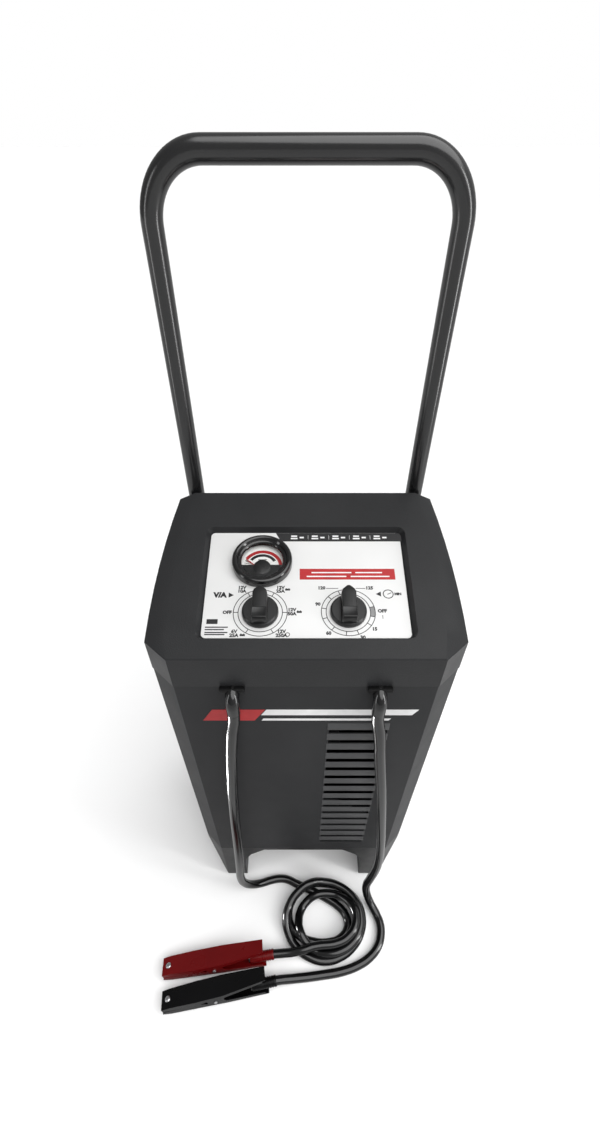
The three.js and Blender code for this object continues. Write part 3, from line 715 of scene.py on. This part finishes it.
SELECTOR = (-0.050, 0.060)
TIMER = (0.046, 0.0605)
METER = (-0.050, 0.127)
PANEL = panel_frame()
LABEL_TOP = -0.0059
INK_TOP = LABEL_TOP + 0.00012
INK_FOOT = LABEL_TOP - 0.0001
OVERPRINT = 0.0001  # how far the white print stands over the inks it lies on
RULE = 0.00042  # half the width of a printed line
LABEL_HALF = 0.1122
LABEL_HIGH = 0.1713


def at(place, height=0.0, turn=0.0):
    return Matrix.Translation((*place, height)) @ Matrix.Rotation(math.radians(turn), 4, "Z")


def bar(left, low, right, high):
    """A printed bar on the label."""
    return block((left, low, INK_FOOT), (right, high, INK_TOP))


def white_bar(left, low, right, high):
    """A white bar printed over another ink."""
    return block((left, low, INK_TOP - OVERPRINT), (right, high, INK_TOP + OVERPRINT))


def printed_ring(centre, inner, outer, sides):
    ring = turned([(inner, INK_FOOT), (outer, INK_FOOT), (outer, INK_TOP), (inner, INK_TOP)], sides)
    return moved(ring, at(centre))


WORD_HEIGHT = 0.00006
NUMBER_SIZE = 0.0056


def words(text, size, place, weight=0.0003):
    """Printed numbers or units, standing on the label."""
    bpy.ops.object.select_all(action="DESELECT")
    bpy.ops.object.text_add()
    obj = bpy.context.object
    obj.data.body = text
    obj.data.size = size
    obj.data.align_x = "CENTER"
    obj.data.align_y = "CENTER"
    obj.data.extrude = WORD_HEIGHT
    obj.data.offset = weight
    obj.data.resolution_u = 2
    only(obj)
    bpy.ops.object.convert(target="MESH")
    return moved(added(), Matrix.Translation((*place, INK_TOP - WORD_HEIGHT)))


INNER_RING, OUTER_RING = 0.0242, 0.0294


def ring_marks(centre, angles):
    """Two printed circles round a knob, and the lines between them."""
    rims = [printed_ring(centre, r - RULE, r + RULE, 72) for r in (INNER_RING, OUTER_RING)]
    lines = [moved(bar(INNER_RING, -RULE, OUTER_RING, RULE), at(centre, 0, angle)) for angle in angles]
    return rims + lines


def triangle(place, size, turn):
    bpy.ops.mesh.primitive_cylinder_add(vertices=3, radius=size, depth=0.0002)
    return moved(added(), at(place, INK_TOP - 0.0001, turn))


def battery_mark(place):
    """A small battery: a case with two posts."""
    x, y = place
    case = bar(x - 0.0028, y - 0.0014, x + 0.0028, y + 0.0010)
    posts = [bar(x + side, y + 0.0008, x + side + 0.0010, y + 0.0017) for side in (-0.0020, 0.0010)]
    return [case, *posts]


def selector_print():
    x, y = SELECTOR
    parts = ring_marks(SELECTOR, [0, 60, 120, 180, 240, 300])
    for text, across, up in (("12V", -0.0215, 0.0325), ("10A", -0.0215, 0.0277), ("12V", 0.0215, 0.0325),
                             ("25A", 0.0215, 0.0277), ("12V", 0.0345, 0.0033), ("50A", 0.0345, -0.0018),
                             ("6V", -0.0270, -0.0238), ("25A", -0.0270, -0.0286), ("12V", 0.0235, -0.0238),
                             ("250A", 0.0235, -0.0286)):
        parts.append(words(text, NUMBER_SIZE, (x + across, y + up)))
    parts.append(words("OFF", NUMBER_SIZE, (x - 0.0360, y)))
    parts.append(words("V/A", 0.0088, (x - 0.0455, y + 0.0225), 0.0006))
    parts.append(triangle((x - 0.0340, y + 0.0225), 0.0038, -90))
    for place in ((x + 0.0295, y + 0.0300), (x + 0.0425, y + 0.0008), (x - 0.0180, y - 0.0280)):
        parts += battery_mark(place)
    parts.append(printed_ring((x + 0.0300, y - 0.0275), 0.0018, 0.0026, 20))
    return parts


def timer_print():
    x, y = TIMER
    parts = ring_marks(TIMER, [14, -12, -35, -70, -97, -130, -163, 170, 137, 110, 70])
    for text, angle, reach in (("OFF", 2, 0.0372), ("15", -38, 0.0345), ("30", -66, 0.0345),
                               ("60", -130, 0.0345), ("90", 163, 0.0345)):
        turn = math.radians(angle)
        parts.append(words(text, NUMBER_SIZE, (x + reach * math.cos(turn), y + reach * math.sin(turn))))
    parts.append(words("120", NUMBER_SIZE, (x - 0.0285, y + 0.0315)))
    parts.append(words("125", NUMBER_SIZE, (x + 0.0250, y + 0.0315)))
    for left, right in ((-0.0235, -0.0098), (0.0098, 0.0205)):
        parts.append(bar(x + left, y + 0.0307, x + right, y + 0.0314))
    clock = (x + 0.0455, y + 0.0235)
    parts.append(triangle((clock[0] - 0.0100, clock[1]), 0.0038, 90))
    parts.append(printed_ring(clock, 0.0050, 0.0060, 32))
    parts.append(moved(bar(-0.0010, -0.0004, 0.0040, 0.0004), at(clock, 0, 25)))
    parts.append(words("MIN", 0.0042, (clock[0] + 0.0108, clock[1])))
    parts.append(bar(x + 0.0368, y - 0.0085, x + 0.0374, y - 0.0040))
    return parts


def off_segment():
    """The grey stretch of the timer's ring at its off mark."""
    return moved(arc(INNER_RING, OUTER_RING, INK_FOOT, INK_TOP - 0.00004, -12, 26, 8), at(TIMER))


def top_strip():
    """The dark strip along the label's top, slanted at its left end."""
    slant = 0.0065
    strip = bar(-0.029, 0.1585, LABEL_HALF - 0.0004, LABEL_HIGH - 0.0002)
    edit(strip)
    pick(strip, lambda middle, normal: normal.y > 0.5)
    bpy.ops.transform.translate(value=(-slant, 0, 0))
    pick(strip, lambda middle, normal: normal.x > 0.5)
    bpy.ops.transform.translate(value=(slant, 0, 0))
    leave()
    return strip


def service_bars():
    """Plain bars in the lower left corner, in place of small print."""
    left, rows = -0.1085, [(0.0245, 0.0415), (0.0205, 0.0385), (0.0245, 0.0350), (0.0215, 0.0325)]
    bars = [bar(left, y - 0.0007, left + width, y + 0.0007) for width, y in rows]
    return [*bars, bar(-0.1075, 0.0455, -0.0955, 0.0515)]


def banner_lines():
    """Plain bars on the red banner, in place of its words."""
    lines = [(0.0065, 0.0520, 0.1131), (0.0565, 0.0870, 0.1131), (0.0010, 0.0460, 0.1078),
             (0.0510, 0.0950, 0.1078)]
    return [white_bar(left, y - 0.0008, right, y + 0.0008) for left, right, y in lines]


def strip_marks():
    """Small pale marks along the dark strip: pairs of bars with a battery beside each."""
    parts = []
    for i in range(5):
        x = -0.0135 + i * 0.0246
        for y, width in ((0.1664, 0.0070), (0.1628, 0.0080)):
            parts.append(white_bar(x - width / 2, y - 0.0010, x + width / 2, y + 0.0010))
        parts.append(white_bar(x + 0.0065, 0.1632, x + 0.0115, 0.1654))
        if i:
            parts.append(white_bar(x - 0.0082, 0.1616, x - 0.0079, 0.1676))
    return parts


def make_label_prints():
    prints = (
        ("label_print_black", "black", [*selector_print(), *timer_print(), *service_bars(), top_strip()]),
        ("label_print_grey", "grey", [off_segment()]),
        ("label_banner", "red", [bar(-0.007, 0.1035, 0.1015, 0.1185)]),
        ("label_print_white", "white", [*banner_lines(), *strip_marks()]),
    )
    for name, ink, parts in prints:
        put(joined(parts), name, "charger", "label", INKS[ink], smooth=0, matrix=PANEL)


KNOB_RADIUS = 0.020


def knob(place):
    """A round skirt with a finger bar across it that comes to a point."""
    radius, foot = KNOB_RADIUS, LABEL_TOP + 0.0004
    skirt = turned([(0, foot), (radius, foot), (radius, foot + 0.0030), (radius - 0.0005, foot + 0.0046),
                    (radius - 0.0020, foot + 0.0057), (0, foot + 0.0058)], 72)
    grip = block((-0.0084, -0.0172, -0.002), (0.0084, 0.0158, 0.0128))
    edit(grip)
    pick(grip, lambda middle, normal: normal.y > 0.5)
    bpy.ops.mesh.extrude_region_move(TRANSFORM_OT_translate={"value": (0, 0.0036, 0)})
    bpy.ops.transform.resize(value=(0.84, 1, 1), center_override=(0, 0, 0))
    bpy.ops.mesh.extrude_region_move(TRANSFORM_OT_translate={"value": (0, 0.0050, 0)})
    bpy.ops.transform.resize(value=(0.20, 1, 1), center_override=(0, 0, 0))
    pick(grip, lambda middle, normal: normal.z > 0.5)
    bpy.ops.transform.resize(value=(0.93, 0.965, 1), center_override=(0, -0.002, 0))
    leave()
    apply(grip, "BEVEL", width=0.0011, segments=3, limit_method="ANGLE", angle_limit=math.radians(40))
    recess = block((-0.0074, -0.0155, 0.0122), (0.0074, -0.0040, 0.0140), 0.0004)
    apply(grip, "BOOLEAN", object=recess, operation="DIFFERENCE", solver="EXACT")
    bpy.data.objects.remove(recess)
    return moved(joined([skirt, grip]), at(place))


def make_knobs():
    for name, place in (("selector", SELECTOR), ("timer", TIMER)):
        put(knob(place), f"{name}_knob_moulding", name, "knob", stands_for=[f"{name}_knob"], smooth=32,
            matrix=PANEL)


DIAL_TOP = -0.0069
DIAL_INK = (DIAL_TOP - 0.0001, DIAL_TOP + 0.00015)  # its foot and its top
NEEDLE_PIVOT = (0, -0.0045)
COVER_FOOT = -0.0042  # of the cover over the movement, and its two steps
COVER_TOP, HUMP_TOP = -0.0034, -0.0030


def meter_bezel():
    foot = LABEL_TOP + 0.0003
    return turned([(0.0306, foot), (0.0345, foot), (0.0345, 0.0010), (0.0341, 0.0026), (0.0330, 0.0039),
                   (0.0315, 0.0045), (0.0300, 0.0044), (0.0288, 0.0036), (0.0281, 0.0026), (0.0276, 0.0018),
                   (0.0266, 0.0017), (0.0254, 0.0016), (0.0245, 0.0010), (0.0238, 0.0000), (0.0236, -0.0008),
                   (0.0236, -0.0016), (0.0306, -0.0016)], 96)


def dial_arc(inner, outer, start, sweep, steps):
    return moved(arc(inner, outer, *DIAL_INK, start, sweep, steps), at(NEEDLE_PIVOT))


def dial_bar(left, low, right, high):
    foot, top = DIAL_INK
    return block((left, low, foot), (right, high, top))


def dial_blacks():
    """The black arc, the three marks past its end, and the unit's bar under it."""
    marks = [
        moved(dial_bar(0.0150, -0.0003, 0.0215, 0.0003), at(NEEDLE_PIVOT, 0, angle))
        for angle in (158, 166, 174)
    ]
    pivot_y = NEEDLE_PIVOT[1]
    unit = dial_bar(-0.0050, pivot_y + 0.0090, 0.0050, pivot_y + 0.0102)
    return [dial_arc(0.0142, 0.0178, 29, 116, 30), *marks, unit]


def movement_cover():
    """The half disc that hides the needle's pivot, with a round hump."""
    pivot_y = NEEDLE_PIVOT[1]
    mask = turned([(0, COVER_FOOT), (0.0266, COVER_FOOT), (0.0266, COVER_TOP), (0, COVER_TOP)], 72)
    away = block((-0.03, pivot_y, -0.01), (0.03, 0.03, 0.01))
    apply(mask, "BOOLEAN", object=away, operation="DIFFERENCE", solver="EXACT")
    bpy.data.objects.remove(away)
    hump = turned([(0, COVER_FOOT), (0.0100, COVER_FOOT), (0.0100, COVER_TOP), (0.0092, HUMP_TOP),
                   (0, HUMP_TOP)], 48)
    return joined([mask, moved(hump, at((0, pivot_y - 0.0032)))])


def make_meter():
    place = PANEL @ at(METER)
    put(meter_bezel(), "meter_bezel_moulding", "charger", "meter", stands_for=["meter_bezel"], matrix=place)
    red = dial_arc(0.0192, 0.0232, 1, 148, 40)
    put(red, "dial_arc_red", "charger", "dial", INKS["red"], smooth=0, matrix=place)
    put(joined(dial_blacks()), "dial_arc_black", "charger", "dial", INKS["black"], smooth=0, matrix=place)
    put(movement_cover(), "meter_movement_cover", "charger", "fitting", matrix=place)


make_label_prints()
make_knobs()
make_meter()

# ---- Handle and wheels ------------------------------------------------------------------------


def handle_bow():
    """The tube drawn up one leg, round both bends and down the other leg."""
    low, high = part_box("handle_tube")
    radius, bend = 0.010, 0.050
    across, top = high.x - radius, high.z - radius
    y = (low.y + high.y) / 2
    leg = top - bend - low.z
    start = (-across, y, low.z)
    bpy.ops.mesh.primitive_circle_add(vertices=40, radius=radius, location=start, fill_type="NGON")
    tube = added()
    edit(tube)
    bpy.ops.mesh.extrude_region_move(TRANSFORM_OT_translate={"value": (0, 0, leg)})
    quarter, axis = math.radians(-90), (0, 1, 0)
    bpy.ops.mesh.spin(steps=20, angle=quarter, center=(bend - across, y, top - bend), axis=axis)
    bpy.ops.mesh.extrude_region_move(TRANSFORM_OT_translate={"value": (2 * (across - bend), 0, 0)})
    bpy.ops.mesh.spin(steps=20, angle=quarter, center=(across - bend, y, top - bend), axis=axis)
    bpy.ops.mesh.extrude_region_move(TRANSFORM_OT_translate={"value": (0, 0, -leg)})
    leave()
    tidy_mesh(tube)
    return tube


def make_handle():
    put(handle_bow(), "handle_bow", "charger", "tube", stands_for=["handle_tube"], smooth=40)
    for number in range(1, 5):
        put_refined(f"handle_bolt_{number}", f"handle_bolt_head_{number}", 0.0006, "steel")


TYRE_SIDES = 96
GROOVE_DEPTH = 0.0022


def mirrored(profile):
    """The same outline at the far side of the wheel's middle."""
    return [(radius, -height) for radius, height in profile]


def tyre():
    """A round tyre, with grooves cut from its two shoulders in turn."""
    half = [(0.0623, 0.0110), (0.0690, 0.0122), (0.0760, 0.0130), (0.0820, 0.0126), (0.0866, 0.0112),
            (0.0890, 0.0082), (0.0897, 0.0045), (0.0900, 0.0015)]
    obj = turned([*mirrored(half), *reversed(half)], TYRE_SIDES)
    edit(obj)

    def groove(middle, normal):
        out = math.hypot(middle.x, middle.y)
        step = int((math.atan2(middle.y, middle.x) / (2 * math.pi) + 1) * TYRE_SIDES + 0.001) % 4
        return out > 0.0868 and 0.0018 < abs(middle.z) < 0.0105 and step == (0 if middle.z > 0 else 2)

    pick(obj, groove)
    bpy.ops.mesh.extrude_region_shrink_fatten(TRANSFORM_OT_shrink_fatten={"value": -GROOVE_DEPTH})
    leave()
    tidy_mesh(obj)
    return obj


def hub():
    """A boss, a thin web with eight ribs, and a rim."""
    half = [(0.0064, 0.0130), (0.0160, 0.0130), (0.0172, 0.0118), (0.0185, 0.0062), (0.0500, 0.0042),
            (0.0540, 0.0104), (0.0552, 0.0112), (0.0612, 0.0112), (0.0620, 0.0104)]
    disc = turned([*mirrored(half), *reversed(half)], 72)
    rib = block((0.0150, -0.0016, -0.0098), (0.0530, 0.0016, 0.0098), 0.0006)
    ribs = [copy_of(rib, Matrix.Rotation(math.radians(45 * i), 4, "Z")) for i in range(8)]
    bpy.data.objects.remove(rib)
    return joined([disc, *ribs])


def make_wheels():
    master_tyre, master_hub = tyre(), hub()
    for side in ("left", "right"):
        low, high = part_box(f"{side}_tyre")
        place = Matrix.Translation((low + high) / 2) @ Matrix.Rotation(math.radians(90), 4, "Y")
        for part, master in (("tyre", master_tyre), ("hub", master_hub)):
            put(copy_of(master, place), f"{side}_{part}_moulding", f"{side}_wheel", part,
                stands_for=[f"{side}_{part}"])
        put_refined(f"{side}_axle_cap", f"{side}_axle_cap_moulding", 0.0006, "fitting")
    bpy.data.objects.remove(master_tyre)
    bpy.data.objects.remove(master_hub)


make_handle()
make_wheels()

# ---- Boots and clamps -------------------------------------------------------------------------

BOOT_TOP, BOOT_FOOT = 0.582, 0.570
BOOT_FACE = CASE_FRONT - 0.0011  # what the boots stand on


def boot_sleeve(x):
    """The elbow that turns the lead down, tapering onto it."""
    radius, bend = LEAD_WIDTH / 2 + 0.0006, BOOT_FACE - LEAD_DROP_Y
    mouth = (x, BOOT_FACE, BOOT_TOP + bend)
    bpy.ops.mesh.primitive_circle_add(vertices=36, radius=radius, location=mouth,
                                      rotation=(math.radians(90), 0, 0), fill_type="NGON")
    elbow = added()
    edit(elbow)
    bpy.ops.mesh.spin(steps=12, angle=math.radians(-90), center=(x, BOOT_FACE, BOOT_TOP), axis=(1, 0, 0))
    bpy.ops.mesh.extrude_region_move(TRANSFORM_OT_translate={"value": (0, 0, BOOT_FOOT - BOOT_TOP)})
    bpy.ops.transform.resize(value=(0.96, 0.96, 1), center_override=(x, LEAD_DROP_Y, BOOT_FOOT))
    leave()
    tidy_mesh(elbow)
    return elbow


def boot_flange(x):
    """The bar under the cap's lower edge that holds the boot, and its short neck."""
    clip = block((x - 0.0138, BOOT_FACE - 0.0060, 0.5965), (x + 0.0138, BOOT_FACE, 0.6020), 0.0010, 3)
    neck = block((x - 0.0066, BOOT_FACE - 0.0068, 0.588), (x + 0.0066, BOOT_FACE, 0.5975), 0.0010, 2)
    return joined([clip, neck])


def make_boots():
    for name in ("positive", "negative"):
        low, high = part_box(f"{name}_boot")
        x = (low.x + high.x) / 2
        put(boot_flange(x), f"{name}_boot_flange", "charger", "fitting", FINISHES["boot"],
            stands_for=[f"{name}_boot"])
        put(boot_sleeve(x), f"{name}_boot_sleeve", "charger", "fitting", FINISHES["lead"])


CLAMP_PIVOT = 0.088  # from the jaw tips
CLAMP_PITCH = 4.3  # degrees
CLAMP_YAW = {"red": 7.2, "black": 9.9}


def clamp_frame(colour):
    """X from the jaw tips to the lead, Y along the pivot pin, with the tips at 0."""
    turn = JOINTS[f"{colour}_clamp_squeeze"]
    pitch, yaw = math.radians(CLAMP_PITCH), math.radians(CLAMP_YAW[colour])
    along = Vector((math.cos(pitch) * math.cos(yaw), math.cos(pitch) * math.sin(yaw), math.sin(pitch)))
    across = Vector(turn["axis"]).normalized()
    origin = Vector(turn["pos_m"]) - along * CLAMP_PIVOT
    turned_frame = Matrix((along, across, along.cross(across))).transposed().to_4x4()
    return Matrix.Translation(origin) @ turned_frame


def rivet():
    return turned([(0, 0), (0.0047, 0), (0.0047, 0.0005), (0.0040, 0.0014), (0.0024, 0.0019),
                   (0, 0.0020)], 28)


def lead_sleeve():
    """The ribbed sleeve that grips the lead in the clamp's lower arm."""
    profile = [(0.0073, 0.148), (0.0082, 0.148), (0.0086, 0.149)]
    for i in range(5):
        z = 0.168 + i * 0.0038
        profile += [(0.0086, z), (0.0079, z + 0.0006), (0.0079, z + 0.0015), (0.0086, z + 0.0021)]
    profile += [(0.0084, 0.1884), (0.0079, 0.189), (0.0073, 0.189)]
    lying = Matrix.Rotation(math.radians(90), 4, "Y")
    return moved(turned(profile, 40), Matrix.Translation((0, 0, -0.0102)) @ lying)


def make_clamp(colour):
    place = clamp_frame(colour)
    name = f"{colour}_clamp"  # of the clamp and of its slot
    put_refined(f"{name}_upper_arm", f"{name}_upper_plate", 0.0006, name)
    put_refined(f"{name}_lower_arm", f"{name}_lower_plate", 0.0006, name)
    for part, body in (("upper", f"{colour}_jaw"), ("lower", "charger")):
        sign = 1 if part == "upper" else -1
        lean = Matrix.Rotation(math.radians(-14 * sign), 4, "Y")
        seat = Matrix.Translation((0.0105, 0, sign * 0.0094)) @ lean
        if part == "lower":
            seat = seat @ Matrix.Rotation(math.pi, 4, "X")
        put(moved(rivet(), place @ seat), f"{name}_{part}_rivet", body, "steel")
        put_refined(f"{name}_{part}_jaw", f"{name}_{part}_teeth", 0.0003, "jaw")
    put(moved(lead_sleeve(), place), f"{name}_sleeve", "charger", name, stands_for=[f"{name}_collar"])
    put_refined(f"{name}_pin", f"{name}_pivot_pin", 0.0005, "steel")
    put_refined(f"{name}_spring", f"{name}_pivot_spring", 0, "steel", smooth=80)


make_boots()
make_clamp("red")
make_clamp("black")

# ---- Studio -----------------------------------------------------------------------------------


ROOM_LIGHT = (0.26, 0.60)  # at the left and the right
OVERHEAD_LIGHT = 2.6
OVERHEAD_FROM = (0.34, -0.24, 0.90)
FLOOR_REFLECTED = 0.62
SOFTBOX_SIZE = (0.25, 1.7)
SOFTBOXES = {"left": (-1.5, 5), "right": (1.5, 12)}  # where each stands across the room, and its power


def softbox(name, location, target, size, power):
    data = bpy.data.lights.new(name, "AREA")
    data.shape = "RECTANGLE"
    data.size, data.size_y = size
    data.energy = power
    light = bpy.data.objects.new(name, data)
    light.location = location
    light.rotation_euler = (Vector(target) - Vector(location)).to_track_quat("-Z", "Y").to_euler()
    bpy.context.scene.collection.objects.link(light)
    return light


def lead_strip(lead, x):
    """A low strip of light to the left of a hanging lead, which lights nothing else."""
    light = softbox(f"{lead.name}_strip", (x - 0.32, -0.17, 0.02), (x, -0.15, 0.33), (0.10, 0.30), 6)
    light.visible_camera = False
    lit = bpy.data.collections.new(f"{lead.name}_lit")
    lit.objects.link(lead)
    light.light_linking.receiver_collection = lit


def overhead_light():
    """A wide soft light from above."""
    data = bpy.data.lights.new("overhead", "SUN")
    data.energy = OVERHEAD_LIGHT
    data.angle = math.radians(70)
    light = bpy.data.objects.new("overhead", data)
    light.rotation_euler = Vector(OVERHEAD_FROM).to_track_quat("Z", "Y").to_euler()
    bpy.context.scene.collection.objects.link(light)


def floor_material():
    """White paper that the object sees as a darker grey than the camera does."""
    paper = finish("floor_paper", (0.90, 0.90, 0.90), (0.92, 0.92, 0.92), (0.7, 0.8), patches=1.5,
                   grain=300, bump=0.02)
    tree = paper.node_tree
    surface = tree.nodes["Material Output"].inputs["Surface"]
    white = surface.links[0].from_socket
    dark = tree.nodes.new("ShaderNodeBsdfDiffuse")
    dark.inputs["Color"].default_value = (*[FLOOR_REFLECTED] * 3, 1)
    seen = tree.nodes.new("ShaderNodeLightPath")
    chosen = tree.nodes.new("ShaderNodeMixShader")
    tree.links.new(seen.outputs["Is Camera Ray"], chosen.inputs["Fac"])
    tree.links.new(dark.outputs["BSDF"], chosen.inputs[1])
    tree.links.new(white, chosen.inputs[2])
    tree.links.new(chosen.outputs["Shader"], surface)
    return paper


def make_stage():
    bpy.ops.object.select_all(action="DESELECT")
    bpy.ops.mesh.primitive_plane_add(size=80, location=(0, 0, 0))
    floor = bpy.context.object
    floor.name = "floor"
    floor.data.materials.append(floor_material())
    bpy.context.scene.world = studio_world()
    bpy.context.scene.view_settings.view_transform = "Standard"
    for side, (x, power) in SOFTBOXES.items():
        softbox(f"{side}_softbox", (x, -0.7, 0.9), (0, -0.1, 0.4), SOFTBOX_SIZE, power)
    for lead, route, *_ in leads:
        lead_strip(lead, route[0][0])
    overhead_light()


def side_of_room(tree):
    """-1 at the room's left, 1 at its right."""
    place = tree.nodes.new("ShaderNodeTexCoord")
    parts = tree.nodes.new("ShaderNodeSeparateXYZ")
    tree.links.new(place.outputs["Generated"], parts.inputs["Vector"])
    return parts.outputs["X"]


def studio_world():
    """A white room behind the object, with a dimmer surround that lights it."""
    world = bpy.data.worlds.new("studio")
    world.use_nodes = True
    tree = world.node_tree
    room = tree.nodes["Background"]
    room.inputs["Color"].default_value = (1, 1, 1, 1)
    tree.links.new(spread(tree, side_of_room(tree), -0.8, 0.8, *ROOM_LIGHT), room.inputs["Strength"])
    white = tree.nodes.new("ShaderNodeBackground")
    white.inputs["Color"].default_value = (1, 1, 1, 1)
    seen = tree.nodes.new("ShaderNodeLightPath")
    chosen = tree.nodes.new("ShaderNodeMixShader")
    tree.links.new(seen.outputs["Is Camera Ray"], chosen.inputs["Fac"])
    tree.links.new(room.outputs["Background"], chosen.inputs[1])
    tree.links.new(white.outputs["Background"], chosen.inputs[2])
    tree.links.new(chosen.outputs["Shader"], tree.nodes["World Output"].inputs["Surface"])
    return world


make_stage()
